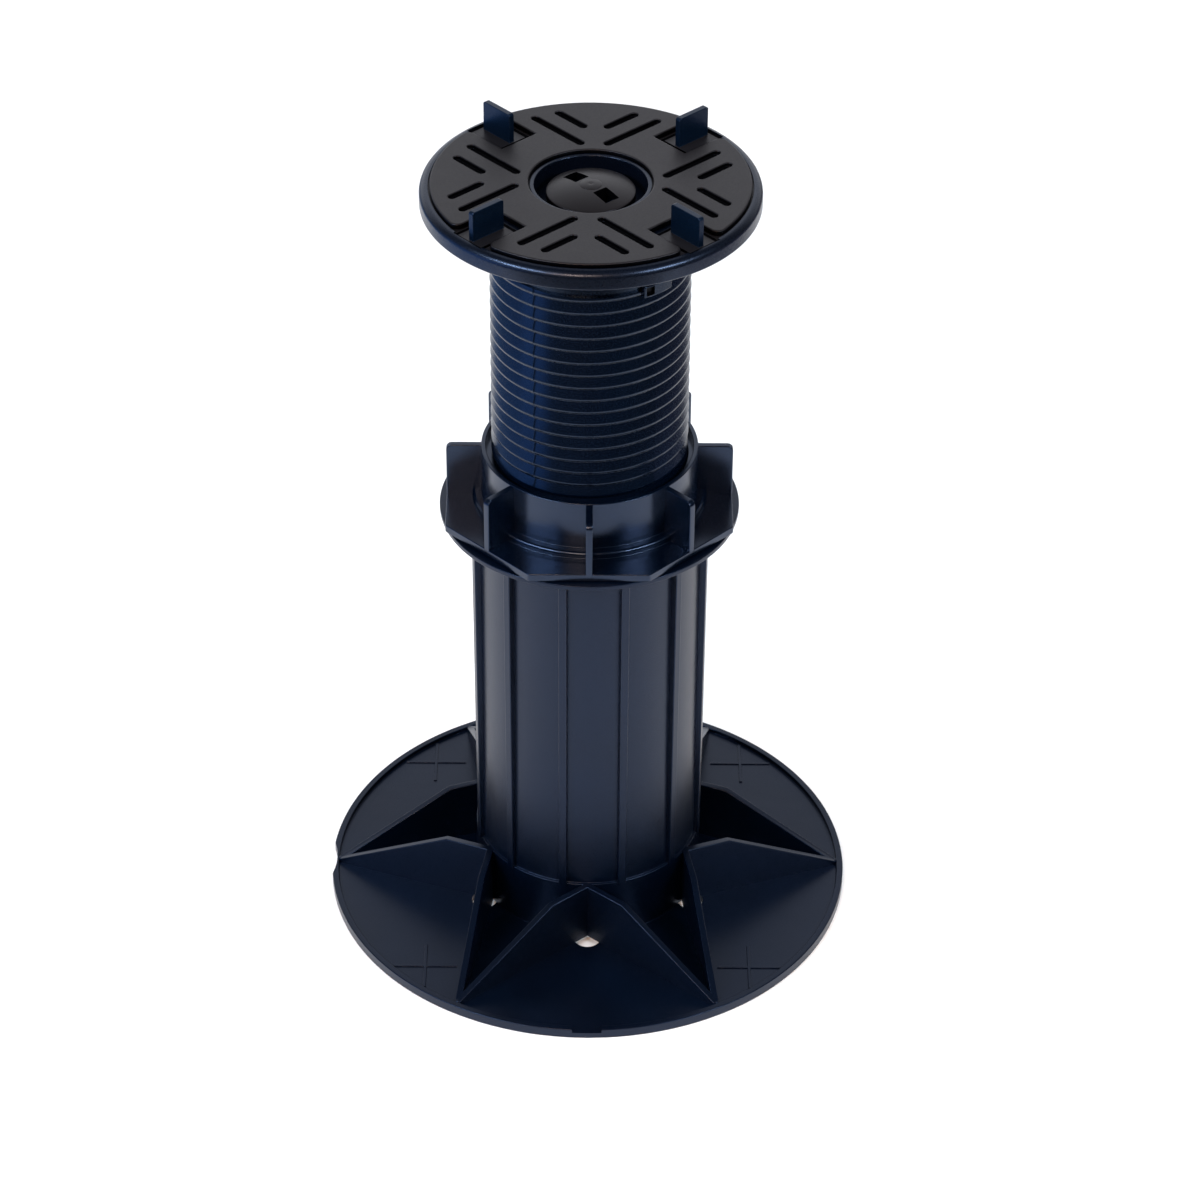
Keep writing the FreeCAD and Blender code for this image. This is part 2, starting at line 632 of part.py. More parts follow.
def spacer_tab(angle):
    half_foot = TAB_FOOT_WIDTH / 2.0
    half_blade = TAB_BLADE_THICKNESS / 2.0
    foot = block(TAB_FOOT_INNER, TAB_FOOT_INNER + TAB_FOOT_LENGTH, -half_foot, half_foot,
                 PAD_SEAT - TAB_FOOT_THICKNESS, PAD_SEAT)
    blade_inner = TAB_FOOT_INNER + (TAB_FOOT_LENGTH - TAB_BLADE_LENGTH) / 2.0
    blade = block(blade_inner, blade_inner + TAB_BLADE_LENGTH, -half_blade, half_blade,
                  PAD_SEAT - TAB_FOOT_THICKNESS / 2.0, HEAD_TOP + TAB_BLADE_HEIGHT)
    crosswise = [e for e in blade.Edges if abs(e.CenterOfMass.y) < SAME]
    top_corners = [e for e in crosswise if e.CenterOfMass.z > HEAD_TOP + TAB_BLADE_HEIGHT - SAME]
    blade = blade.makeFillet(TAB_BLADE_CORNER, top_corners)
    middle = TAB_FOOT_INNER + TAB_FOOT_LENGTH / 2.0
    peg_top = PAD_SEAT - TAB_FOOT_THICKNESS / 2.0
    peg_low = PAD_SEAT - TAB_FOOT_THICKNESS - TAB_PEG_LENGTH
    peg = Part.makeCylinder(TAB_PEG_RADIUS, peg_top - peg_low, V(middle, 0, peg_low))
    return turned_about_axis(foot.fuse([blade, peg]).removeSplitter(), angle)


def all_parts():
    parts = {
        "base_foot": base_foot(),
        "adjusting_ring": adjusting_ring(),
        "threaded_stem": threaded_stem(),
        "head_plate": head_plate(),
        "head_retainer": head_retainer(),
        "top_pad": top_pad(),
    }
    for i in range(TAB_COUNT):
        angle = TAB_FIRST_ANGLE + HEAD_TURN + 360.0 * i / TAB_COUNT
        parts["spacer_tab_%d" % (i + 1)] = spacer_tab(angle)
    return parts


def single_solid(shape):
    return shape.Solids[0] if len(shape.Solids) == 1 else shape


os.makedirs("parts", exist_ok=True)
for name, shape in all_parts().items():
    solid = single_solid(shape)
    solid.exportStep("parts/%s.step" % name)
    print("%-16s solids %d  valid %s" % (name, len(shape.Solids), solid.isValid()))
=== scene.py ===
import math

import bmesh
import bpy
from mathutils import Euler, Matrix, Quaternion, Vector


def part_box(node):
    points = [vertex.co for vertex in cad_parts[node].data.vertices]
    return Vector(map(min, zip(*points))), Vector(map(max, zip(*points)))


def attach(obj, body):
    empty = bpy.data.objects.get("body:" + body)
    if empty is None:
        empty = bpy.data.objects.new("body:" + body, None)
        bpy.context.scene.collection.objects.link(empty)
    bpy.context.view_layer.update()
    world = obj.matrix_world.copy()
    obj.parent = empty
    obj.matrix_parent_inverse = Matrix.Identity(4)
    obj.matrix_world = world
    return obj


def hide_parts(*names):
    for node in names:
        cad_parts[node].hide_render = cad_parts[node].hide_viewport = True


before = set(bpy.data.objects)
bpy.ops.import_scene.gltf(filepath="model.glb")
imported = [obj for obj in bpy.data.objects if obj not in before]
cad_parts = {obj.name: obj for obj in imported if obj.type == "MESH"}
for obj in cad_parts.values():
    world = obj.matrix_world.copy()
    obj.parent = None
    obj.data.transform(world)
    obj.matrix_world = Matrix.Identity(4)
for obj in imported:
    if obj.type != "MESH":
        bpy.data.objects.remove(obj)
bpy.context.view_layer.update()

# The decking pedestal. Its mouldings are built from their sizes as closed solids with rounded
# edges, and each stands for its node of the frame. The pad and the tabs are rounded copies of
# their nodes.
#
# The object's lengths are in millimetres, and are scaled to metres when a mesh is made. Angles are
# in degrees about +Z, from +X. +Z is up and -Y is the side that faces the viewer.
MM = 0.001


def corners_of(node):
    """Lowest and highest corner of a node of the frame, in millimetres."""
    low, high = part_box(node)
    return Vector(low) / MM, Vector(high) / MM


FOOT_HIGH = corners_of("base_foot")[1]
RING_LOW, RING_HIGH = corners_of("adjusting_ring")
STEM_LOW = corners_of("threaded_stem")[0]
HEAD_HIGH = corners_of("head_plate")[1]

# Foot and star
FOOT_RADIUS = FOOT_HIGH.x
FLOOR_THICKNESS = 2.5
RIM_HEIGHT = 4.0
RIM_WIDTH = 2.5
SCALLOP_LENGTH = 22.0
SCALLOP_DEPTH = 1.8
SCALLOP_ANGLE = 180.0
RIM_GAP_WIDTH = 11.0
RIM_GAP_ANGLE = 270.0
CROSS_X = 61.5
CROSS_Y = 62.5
CROSS_ARM = 12.0
CROSS_LINE = 1.2
CROSS_RELIEF = 0.4
STAR_POINTS = 6
STAR_TIP_RADIUS = 96.5
STAR_WALL = 2.5
STAR_HEIGHT = 27.0
STAR_LEVEL_LENGTH = 18.0
STAR_TIP_HEIGHT = 4.2
STAR_ROOT = 2.0
DRAIN_RADIUS = 5.0
DRAIN_CIRCLE = 46.0

# Barrel
BARREL_HEIGHT = FOOT_HIGH.z
BARREL_BORE = 39.2
BARREL_WALL = 3.0
SKIRT_RELIEF = 1.0
RIB_COUNT = 12
RIB_WIDTH = 3.0
RIB_RELIEF = 2.5
RIB_FOOT_RELIEF = 1.8
RIB_START_ANGLE = 17.5
MOUTH_FLANGE_RADIUS = 55.0
MOUTH_FLANGE_THICKNESS = 2.0

# Adjusting ring
RING_FLATS = 8
RING_APOTHEM = RING_HIGH.x
RING_PLATE = 3.0
RING_CORNER = 1.5
SPIGOT_LENGTH = 8.0
SPIGOT_CLEARANCE = 0.3
COLLAR_RADIUS = 39.5
COLLAR_MOUTH_RADIUS = 37.8
COLLAR_MOUTH_DEPTH = 3.0
COLLAR_STEP_WIDTH = 3.2
COLLAR_STEP_HEIGHT = 2.6
COLLAR_STEP_ROUNDING = 1.0
FIN_TOP_DROP = 0.5
FIN_THICKNESS = 2.5
FIN_CORNER = 2.0

# Thread of stem and ring
THREAD_PITCH = 5.1
THREAD_ROOT = 34.7
THREAD_CREST = 36.0
THREAD_UNDERCUT = 1.2
THREAD_CREST_ROUNDING = 1.3
THREAD_ROOT_ROUNDING = 0.15
THREAD_CLEARANCE = 0.3
THREAD_RUNOUT = 0.8
THREAD_END_ANGLE = -60.0
RING_THREAD_TURNS = 3
RING_RELIEF = 0.2

# Parting lines down the stem's thread: how far each one stands out, by its angle
PARTINGS = {-124.0: 0.16, -49.0: 0.07}
PARTING_WIDTH = 0.9

# Stem
STEM_LENGTH = 134.5
STEM_BORE = 31.5
STEM_TOP_WALL = 3.0
THREAD_TO_SHOULDER = 11.9
STOP_LUG_WIDTH = 12.0
STOP_LUG_HEIGHT = 4.4
STOP_LUG_RADIUS = 37.4
LUG_POCKET_START = 0.8
LUG_POCKET_WIDTH = 3.4
LUG_POCKET_DEPTH = 1.2
LUG_POCKET_MARGIN = 0.5
CROWN_RADIUS = 44.4
CROWN_FOOT_MARGIN = 2.88
CROWN_HOLE_CLEARANCE = 0.4

# Head plate
HEAD_RADIUS = 60.0
HEAD_RIM_HEIGHT = 7.0
HEAD_SKIN = 3.0
HEAD_RIM_WALL = 2.5
HEAD_TOP_ROUNDING = 2.6
HEAD_BORE = 19.9
HUB_WALL = 2.5
HEAD_RIB_COUNT = 12
HEAD_RIB_THICKNESS = 2.0
HEAD_RIB_SETBACK = 0.8
HEAD_TURN = -2.3
JOINT_GAP = 0.3
WEB_THICKNESS = 2.5
WEB_HOLE_CLEARANCE = 0.6
TILT_LIMIT = 2.86
PAD_RADIUS = 56.3
PAD_BORE = 21.8
PAD_THICKNESS = 2.1
PAD_SEAT_DEPTH = 0.8
PAD_SEAT_CLEARANCE = 0.4
TAB_COUNT = 4
TAB_FIRST_ANGLE = 45.0
TAB_FOOT_INNER = 40.7
TAB_FOOT_LENGTH = 15.5
TAB_FOOT_WIDTH = 11.8
TAB_FOOT_THICKNESS = 1.2
TAB_SEAT_CLEARANCE = 0.3
TAB_PEG_RADIUS = 2.0

# Retainer
DOME_RADIUS = 15.7
DOME_THICKNESS = 2.7
DOME_GATE_RADIUS = 3.9
DOME_GATE_RELIEF = 0.25
DOME_GATE_STEP = 0.08
DOME_GATE_FLAT = 1.6
DOME_GATE_PIN = 0.45
CLIP_COUNT = 2
CLIP_TURN = 130.0
CLIP_INNER = 2.5
CLIP_THICKNESS = 2.2
CLIP_WIDTH = 6.0
CLIP_WINDOW = 7.0
CLIP_BARB = 3.6
CLIP_BARB_HEIGHT = 2.6
CLIP_BARB_SLOPE = 1.6
CLIP_TIP = 1.0

# Roundings of moulded edges and inner corners
EDGE = 0.35
FINE_EDGE = 0.2
PAD_EDGE = 0.35
CREASE = 0.3

# Flare of a tab pocket's mouth
POCKET_FLARE = 0.9

# How far under a face the painted shade of hollows begins, and how far off a height a face
# still counts as level with it
SHADE_PAINT_DROP = 0.3
FLUSH = 0.02

# Fineness of round forms
SEGMENTS = 288
GATE_SEGMENTS = 96
DRAIN_SEGMENTS = 48
PEG_HOLE_SEGMENTS = 32
STAR_TIP_SEGMENTS = 24
LUG_STEPS = 4
ROUNDING_STEPS = 3
HEAD_ROUNDING_STEPS = 6
SPHERE_STEPS = 14
SHARP_ANGLE = 32.0

# Distances within which points are joined, or lie on the axis
SKIN_WELD = 0.0001
ON_AXIS = 0.01

# Rounded copies of nodes: edges flatter than the first angle go, and those sharper than the second
# are rounded
COPY_WELD = 0.002 * MM
COPY_FLAT_ANGLE = 0.6
COPY_EDGE_ANGLE = 28.0

# Places that follow from the sizes above
WALL_RADIUS = BARREL_BORE + BARREL_WALL
SKIRT_RADIUS = WALL_RADIUS + SKIRT_RELIEF
COLLAR_TOP = RING_HIGH.z
RING_UNDERSIDE = RING_LOW.z + SPIGOT_LENGTH
RING_TOP = RING_UNDERSIDE + RING_PLATE
STEM_BOTTOM = STEM_LOW.z
SHOULDER = STEM_BOTTOM + STEM_LENGTH
THREAD_TOP = SHOULDER - THREAD_TO_SHOULDER - THREAD_UNDERCUT
HUB_RADIUS = HEAD_BORE + HUB_WALL
CROWN_FOOT_RADIUS = HUB_RADIUS + CROWN_FOOT_MARGIN
CENTRE = SHOULDER - math.sqrt(CROWN_RADIUS ** 2 - CROWN_FOOT_RADIUS ** 2)
CROWN_INNER = CROWN_RADIUS - STEM_TOP_WALL
CROWN_LOW = SHOULDER - STEM_TOP_WALL
CROWN_INNER_FOOT = math.sqrt(CROWN_INNER ** 2 - (CROWN_LOW - CENTRE) ** 2)
HEAD_TOP = HEAD_HIGH.z
PAD_SEAT = HEAD_TOP - PAD_SEAT_DEPTH
PAD_TOP = PAD_SEAT + PAD_THICKNESS
WEB_INNER = CROWN_RADIUS + JOINT_GAP
WEB_OUTER = WEB_INNER + WEB_THICKNESS
DOME_INNER = WEB_OUTER + JOINT_GAP
DOME_OUTER = DOME_INNER + DOME_THICKNESS
CLIP_OUTER = CLIP_INNER + CLIP_THICKNESS
CLIP_CORNER_RADIUS = math.hypot(CLIP_OUTER, CLIP_WIDTH / 2.0)
CROWN_HOLE = CLIP_CORNER_RADIUS + CROWN_HOLE_CLEARANCE
TILT_TRAVEL = WEB_OUTER * math.sin(math.radians(TILT_LIMIT))
WEB_HOLE = CLIP_CORNER_RADIUS + TILT_TRAVEL + WEB_HOLE_CLEARANCE
DOME_FLAT_RADIUS = WEB_HOLE - TILT_TRAVEL - JOINT_GAP

# Length by which a cutting tool reaches past the face that it opens
REACH = 1.0

# Camera, in metres, as the photograph was taken: a long lens, looking down at the pedestal
FRAME_PIXELS = 1200.0
FOCAL_PIXELS = 4016.0
CENTRE_PIXEL_X = 588.9
SENSOR_WIDTH = 36.0
CAMERA_PLACE = (0.0, -1.2170, 1.0109)
CAMERA_PITCH = 35.918
CAMERA_ROLL = 0.28

# Floor and the cards on it, in metres. The cards are seen only in the object's gloss.
FLOOR_HALF_WIDTH = 4.0
FLOOR_DROP = 0.00005
FLOOR_DARK = (0.90, 0.90, 0.91)
FLOOR_LIGHT = (0.93, 0.93, 0.93)
FLOOR_FLECK_SCALE = 60.0
FLOOR_ROUGHNESS = 0.75
FLOOR_GLOSS = 0.1
CARD_FRONT = -0.385
CARD_SIDE = 0.50
CARD_FAR = 3.0
CARD_RISE = 0.002
CARD_ROUGHNESS = 0.9
FRONT_CARD = (0.002, 0.002, 0.003)
LEFT_CARD = (0.12, 0.26, 0.55)
RIGHT_CARD = (0.10, 0.11, 0.18)

# Light from the room's walls: its level rises from front to back, and its colour changes from left
# to right, each over a range of the direction's Y or X
WORLD_FRONT = 0.10
WORLD_BACK = 1.42
WORLD_RISE = (0.42, 0.95)
WORLD_LEFT = (0.98, 1.0, 1.05)
WORLD_RIGHT = (0.72, 0.73, 0.76)
WORLD_SIDES = (-0.6, 0.6)


# Outlines

def rounded(corners, steps=ROUNDING_STEPS):
    """Closed outline through corners (x, y, radius), each rounded by its radius."""
    points = []
    for i, (x, y, radius) in enumerate(corners):
        here = Vector((x, y))
        if radius == 0.0:
            points.append(here)
            continue
        before = (Vector(corners[i - 1][:2]) - here).normalized()
        after = (Vector(corners[(i + 1) % len(corners)][:2]) - here).normalized()
        half = before.angle(after) / 2.0
        reach = radius / math.tan(half)
        centre = here + (before + after).normalized() * (radius / math.sin(half))
        start = here + before * reach
        end = here + after * reach
        for step in range(steps + 1):
            blend = start.lerp(end, step / steps)
            points.append(centre + (blend - centre).normalized() * radius)
    return points


def on_sphere(radius, r):
    """Corner at distance r from the axis, on a sphere about the tilt centre."""
    return (r, CENTRE + math.sqrt(radius * radius - r * r), 0.0)


def sphere_arc(radius, r_from, r_to, count=SPHERE_STEPS):
    return [on_sphere(radius, r_from + (r_to - r_from) * i / count) for i in range(count + 1)]


def even_angles(count=SEGMENTS):
    return [360.0 * i / count for i in range(count)]


# Solids, as objects whose meshes are closed skins

def solid(shape):
    """Object made of a bmesh in millimetres."""
    bmesh.ops.remove_doubles(shape, verts=shape.verts, dist=SKIN_WELD)
    bmesh.ops.recalc_face_normals(shape, faces=shape.faces)
    bmesh.ops.scale(shape, vec=(MM, MM, MM), verts=shape.verts)
    mesh = bpy.data.meshes.new("solid")
    shape.to_mesh(mesh)
    shape.free()
    piece = bpy.data.objects.new("solid", mesh)
    bpy.context.scene.collection.objects.link(piece)
    return piece


def loft(rings):
    """Solid through rings of as many points each, closed by its first and last ring."""
    shape = bmesh.new()
    rows = [[shape.verts.new(point) for point in ring] for ring in rings]
    for row, following in zip(rows, rows[1:]):
        for j in range(len(row)):
            k = (j + 1) % len(row)
            shape.faces.new((row[j], row[k], following[k], following[j]))
    shape.faces.new(rows[0])
    shape.faces.new(rows[-1])
    return solid(shape)


def turned(section, angles=None):
    """Solid whose outline (r, z) at each angle is section(angle). An outline may touch the axis."""
    shape = bmesh.new()
    rows = []
    for angle in angles or even_angles():
        a = math.radians(angle)
        rows.append([shape.verts.new((p.x * math.cos(a), p.x * math.sin(a), p.y))
                     for p in section(angle)])
    for i, row in enumerate(rows):
        following = rows[(i + 1) % len(rows)]
        for j in range(len(row)):
            k = (j + 1) % len(row)
            if max(row[j].co.xy.length, row[k].co.xy.length) > ON_AXIS:
                shape.faces.new((row[j], following[j], following[k], row[k]))
    return solid(shape)


def revolved(corners, angles=None):
    outline = rounded(corners)
    return turned(lambda angle: outline, angles)


def disc(radius, low, high, rounding=0.0, segments=SEGMENTS):
    corners = [(0.0, low, 0.0), (radius, low, rounding), (radius, high, rounding), (0.0, high, 0.0)]
    return revolved(corners, even_angles(segments))


def block(x0, x1, y0, y1, z0, z1, rounding=0.0):
    """Block along X whose two upper long edges are rounded."""
    ring = rounded([(y0, z0, 0.0), (y1, z0, 0.0), (y1, z1, rounding), (y0, z1, rounding)])
    return loft([[(x, p.x, p.y) for p in ring] for x in (x0, x1)])


def round_edges(shape, edges, rounding):
    bmesh.ops.bevel(shape, geom=edges, offset=rounding, segments=ROUNDING_STEPS, profile=0.5,
                    affect="EDGES")


def plate(corners, y0, y1, rounding):
    """Plate over an outline (x, z), from y0 to y1, with the edges of both faces rounded."""
    outline = rounded(corners)
    shape = bmesh.new()
    near = [shape.verts.new((p.x, y0, p.y)) for p in outline]
    far = [shape.verts.new((p.x, y1, p.y)) for p in outline]
    faces = [shape.faces.new(near), shape.faces.new(far)]
    for j in range(len(near)):
        k = (j + 1) % len(near)
        shape.faces.new((near[j], near[k], far[k], far[j]))
    if rounding > 0.0:
        round_edges(shape, list({edge for face in faces for edge in face.edges}), rounding)
    return solid(shape)


def moved(piece, x=0.0, y=0.0, angle=0.0):
    """The piece shifted along X and Y, and then turned about the axis."""
    turn = Matrix.Rotation(math.radians(angle), 4, "Z")
    piece.data.transform(turn @ Matrix.Translation((x * MM, y * MM, 0.0)))
    return piece


def copies_around(make, count, first=0.0):
    return [moved(make(), angle=first + 360.0 * i / count) for i in range(count)]


def apply_modifiers(piece):
    bpy.context.view_layer.update()
    evaluated = piece.evaluated_get(bpy.context.evaluated_depsgraph_get())
    mesh = bpy.data.meshes.new_from_object(evaluated)
    piece.modifiers.clear()
    piece.data = mesh


def combined(piece, others, operation):
    for other in others:
        modifier = piece.modifiers.new("combine", "BOOLEAN")
        modifier.operation = operation
        modifier.solver = "MANIFOLD"
        modifier.object = other
    apply_modifiers(piece)
    for other in others:
        bpy.data.objects.remove(other)
    return piece


def fused(piece, others):
    return combined(piece, others, "UNION")


def cut(piece, others):
    return combined(piece, others, "DIFFERENCE")


def common(piece, other):
    return combined(piece, [other], "INTERSECT")


# Foot and barrel

def foot_and_barrel():
    inner = FOOT_RADIUS - RIM_WIDTH
    flange_low = BARREL_HEIGHT - MOUTH_FLANGE_THICKNESS
    return revolved([
        (0.0, 0.0, 0.0), (FOOT_RADIUS, 0.0, EDGE), (FOOT_RADIUS, RIM_HEIGHT, EDGE),
        (inner, RIM_HEIGHT, EDGE), (inner, FLOOR_THICKNESS, CREASE),
        (SKIRT_RADIUS, FLOOR_THICKNESS, CREASE), (SKIRT_RADIUS, STAR_HEIGHT, EDGE),
        (WALL_RADIUS, STAR_HEIGHT, CREASE), (WALL_RADIUS, flange_low, CREASE),
        (MOUTH_FLANGE_RADIUS, flange_low, EDGE), (MOUTH_FLANGE_RADIUS, BARREL_HEIGHT, EDGE),
        (BARREL_BORE, BARREL_HEIGHT, EDGE), (BARREL_BORE, FLOOR_THICKNESS, CREASE),
        (0.0, FLOOR_THICKNESS, 0.0)])


def star_wall(vertex_angle, tip_angle):
    """Upright wall from the barrel to a star tip: level at first, then sloping down to the rim."""
    start = Vector((SKIRT_RADIUS, 0.0)) @ Matrix.Rotation(-math.radians(vertex_angle), 2)
    tip = Vector((STAR_TIP_RADIUS, 0.0)) @ Matrix.Rotation(-math.radians(tip_angle), 2)
    length = (tip - start).length
    low = FLOOR_THICKNESS / 2.0
    half = STAR_WALL / 2.0
    tops = ((-STAR_ROOT, STAR_HEIGHT), (STAR_LEVEL_LENGTH, STAR_HEIGHT), (length, STAR_TIP_HEIGHT))
    rings = []
    for along, top in tops:
        ring = rounded([(-half, low, 0.0), (half, low, 0.0), (half, top, EDGE), (-half, top, EDGE)])
        rings.append([(along, p.x, p.y) for p in ring])
    wall = loft(rings)
    heading = (tip - start).angle_signed(Vector((1.0, 0.0)))
    place = Matrix.Translation((start.x * MM, start.y * MM, 0.0))
    wall.data.transform(place @ Matrix.Rotation(heading, 4, "Z"))
    return wall


def star_walls():
    step = 360.0 / STAR_POINTS
    walls = []
    for i in range(STAR_POINTS):
        walls.append(star_wall(i * step - step / 2.0, i * step))
        walls.append(star_wall(i * step + step / 2.0, i * step))
        tip = disc(STAR_WALL / 2.0, FLOOR_THICKNESS / 2.0, STAR_TIP_HEIGHT, EDGE, STAR_TIP_SEGMENTS)
        walls.append(moved(tip, x=STAR_TIP_RADIUS, angle=i * step))
    return walls


def barrel_rib():
    """Rib that stands out more and more from the skirt up to the flange."""
    half = RIB_WIDTH / 2.0
    inner = WALL_RADIUS - BARREL_WALL / 2.0
    rings = []
    for z, relief in ((STAR_HEIGHT - REACH / 2.0, RIB_FOOT_RELIEF),
                      (BARREL_HEIGHT - MOUTH_FLANGE_THICKNESS / 2.0, RIB_RELIEF)):
        outer = WALL_RADIUS + relief
        ring = rounded([(inner, -half, 0.0), (outer, -half, EDGE),
                        (outer, half, EDGE), (inner, half, 0.0)])
        rings.append([(p.x, p.y, z) for p in ring])
    return loft(rings)


def crosses():
    arms = []
    half = CROSS_LINE / 2.0
    top = FLOOR_THICKNESS + CROSS_RELIEF
    low = FLOOR_THICKNESS / 2.0
    for x in (-CROSS_X, CROSS_X):
        for y in (-CROSS_Y, CROSS_Y):
            across = block(x - CROSS_ARM, x + CROSS_ARM, y - half, y + half, low, top, FINE_EDGE)
            upright = block(-CROSS_ARM, CROSS_ARM, -half, half, low, top, FINE_EDGE)
            arms += [across, moved(moved(upright, angle=90.0), x=x, y=y)]
    return arms


def drain():
    hole = disc(DRAIN_RADIUS, -REACH, FLOOR_THICKNESS + REACH / 4.0, segments=DRAIN_SEGMENTS)
    return moved(hole, x=DRAIN_CIRCLE)


def rim_scallop():
    half = SCALLOP_LENGTH / 2.0
    radius = (half * half + SCALLOP_DEPTH * SCALLOP_DEPTH) / (2.0 * SCALLOP_DEPTH)
    tool = disc(radius, -REACH, RIM_HEIGHT + REACH)
    return moved(tool, x=FOOT_RADIUS - SCALLOP_DEPTH + radius, angle=SCALLOP_ANGLE)


def rim_gap():
    half = RIM_GAP_WIDTH / 2.0
    gap = block(FOOT_RADIUS - RIM_WIDTH - REACH, FOOT_RADIUS + REACH, -half, half,
                FLOOR_THICKNESS, RIM_HEIGHT + REACH)
    return moved(gap, angle=RIM_GAP_ANGLE)


def base_foot():
    body = fused(foot_and_barrel(),
                 star_walls() + copies_around(barrel_rib, RIB_COUNT, RIB_START_ANGLE) + crosses())
    drains = copies_around(drain, STAR_POINTS, 180.0 / STAR_POINTS)
    return cut(body, drains + [rim_scallop(), rim_gap()])


# Thread

def thread_profile(root, crest):
    """One pitch of the thread as points (r, z), from the root to just under the next one."""
    return rounded([
        (crest, THREAD_UNDERCUT - THREAD_PITCH, 0.0), (root, 0.0, THREAD_ROOT_ROUNDING),
        (crest, THREAD_UNDERCUT, THREAD_CREST_ROUNDING), (root, THREAD_PITCH, 0.0)])[1:-1]


def parting_reliefs(partings):
    """Relief at each parting line's edges and middle, by their angles from the thread's end."""
    half = math.degrees(PARTING_WIDTH / 2.0 / THREAD_CREST)
    reliefs = {}
    for angle, relief in partings.items():
        start = (angle - THREAD_END_ANGLE) % 360.0
        reliefs.update({start - half: 0.0, start: relief, start + half: 0.0})
    return reliefs


def threaded_bar(root, crest, low, high, partings):
    """Threaded bar, faced flat at low and high. Its crest passes through the thread's upper end."""
    profile = thread_profile(root, crest)
    reliefs = parting_reliefs(partings)
    angles = sorted(even_angles(SEGMENTS // 2) + list(reliefs))
    first = THREAD_TOP - (math.ceil((THREAD_TOP - low) / THREAD_PITCH) + 1) * THREAD_PITCH
    turns = math.ceil((high - first) / THREAD_PITCH) + 1
    shape = bmesh.new()
    rows = []
    for i in range(len(angles) * turns + 1):
        turn, step = divmod(i, len(angles))
        rise = first + THREAD_PITCH * (turn + angles[step] / 360.0)
        a = math.radians(angles[step] + THREAD_END_ANGLE)
        relief = reliefs.get(angles[step], 0.0)
        rows.append([shape.verts.new(((p.x + relief) * math.cos(a), (p.x + relief) * math.sin(a),
                                      rise + p.y)) for p in profile])
    for i in range(len(rows) - 1):
        for j in range(len(profile) - 1):
            shape.faces.new((rows[i][j], rows[i + 1][j], rows[i + 1][j + 1], rows[i][j + 1]))
        if i + len(angles) < len(rows) - 1:
            above = rows[i + len(angles)]
            above_next = rows[i + len(angles) + 1]
            shape.faces.new((rows[i][-1], rows[i + 1][-1], above_next[0], above[0]))
    bottom = [row[0] for row in rows[:len(angles) + 1]] + list(reversed(rows[0]))[:-1]
    top = [row[-1] for row in rows[-len(angles) - 1:]] + list(reversed(rows[-1][:-1]))
    for rim, z in ((bottom, first - THREAD_PITCH), (top, first + THREAD_PITCH * (turns + 2))):
        hub = shape.verts.new((0.0, 0.0, z))
        for j in range(len(rim)):
            shape.faces.new((rim[j], rim[(j + 1) % len(rim)], hub))
    return common(solid(shape), disc(crest + REACH, low, high))


# Adjusting ring

def octagon_radius(angle):
    """Distance from the axis to the octagon's edge, with its corners rounded."""
    half_step = 180.0 / RING_FLATS
    from_corner = abs((angle % (2.0 * half_step)) - half_step)
    off = math.radians(from_corner)
    centre = (RING_APOTHEM - RING_CORNER) / math.cos(math.radians(half_step))
    inside = RING_CORNER ** 2 - (centre * math.sin(off)) ** 2
    if from_corner <= ring_corner_angle():
        return centre * math.cos(off) + math.sqrt(inside)
    return RING_APOTHEM / math.cos(math.radians(half_step - from_corner))


def ring_corner_angle():
    half_step = math.radians(180.0 / RING_FLATS)
    centre = (RING_APOTHEM - RING_CORNER) / math.cos(half_step)
    across = RING_CORNER * math.sin(half_step)
    return math.degrees(math.atan2(across, centre + RING_CORNER * math.cos(half_step)))


def ring_angles():
    """Even angles, with more of them across each of the octagon's corners."""
    reach = ring_corner_angle()
    angles = set(even_angles())
    for i in range(RING_FLATS):
        corner = 360.0 * (i + 0.5) / RING_FLATS
        angles.update(corner + reach * part for part in (-1.0, -0.5, 0.5, 1.0))
    return sorted(angles)


def ring_section(angle):
    """Spigot, plate, step, collar with its opened mouth, and the bore with its thread's blank."""
    edge = octagon_radius(angle)
    low = RING_UNDERSIDE - SPIGOT_LENGTH
    spigot = BARREL_BORE - SPIGOT_CLEARANCE
    step_radius = COLLAR_RADIUS + COLLAR_STEP_WIDTH
    step_top = RING_TOP + COLLAR_STEP_HEIGHT
    mouth_low = COLLAR_TOP - COLLAR_MOUTH_DEPTH
    thread_low = mouth_low - RING_THREAD_TURNS * THREAD_PITCH
    relief = THREAD_CREST + THREAD_CLEARANCE + RING_RELIEF
    blank = THREAD_ROOT - REACH
    return rounded([
        (relief, low, EDGE), (spigot, low, EDGE), (spigot, RING_UNDERSIDE, 0.0),
        (edge, RING_UNDERSIDE, EDGE), (edge, RING_TOP, EDGE), (step_radius, RING_TOP, CREASE),
        (step_radius, step_top, COLLAR_STEP_ROUNDING), (COLLAR_RADIUS, step_top, CREASE),
        (COLLAR_RADIUS, COLLAR_TOP, EDGE), (COLLAR_MOUTH_RADIUS, COLLAR_TOP, EDGE),
        (COLLAR_MOUTH_RADIUS, mouth_low, 0.0), (blank, mouth_low, 0.0), (blank, thread_low, 0.0),
        (relief, thread_low, 0.0)])


def ring_fin():
    half = FIN_THICKNESS / 2.0
    inner = (COLLAR_MOUTH_RADIUS + COLLAR_RADIUS) / 2.0
    low = RING_UNDERSIDE + RING_PLATE / 2.0
    high = COLLAR_TOP - FIN_TOP_DROP
    corners = [(inner, low, 0.0), (RING_APOTHEM, low, 0.0), (RING_APOTHEM, high, FIN_CORNER),
               (inner, high, 0.0)]
    return plate(corners, -half, half, EDGE)


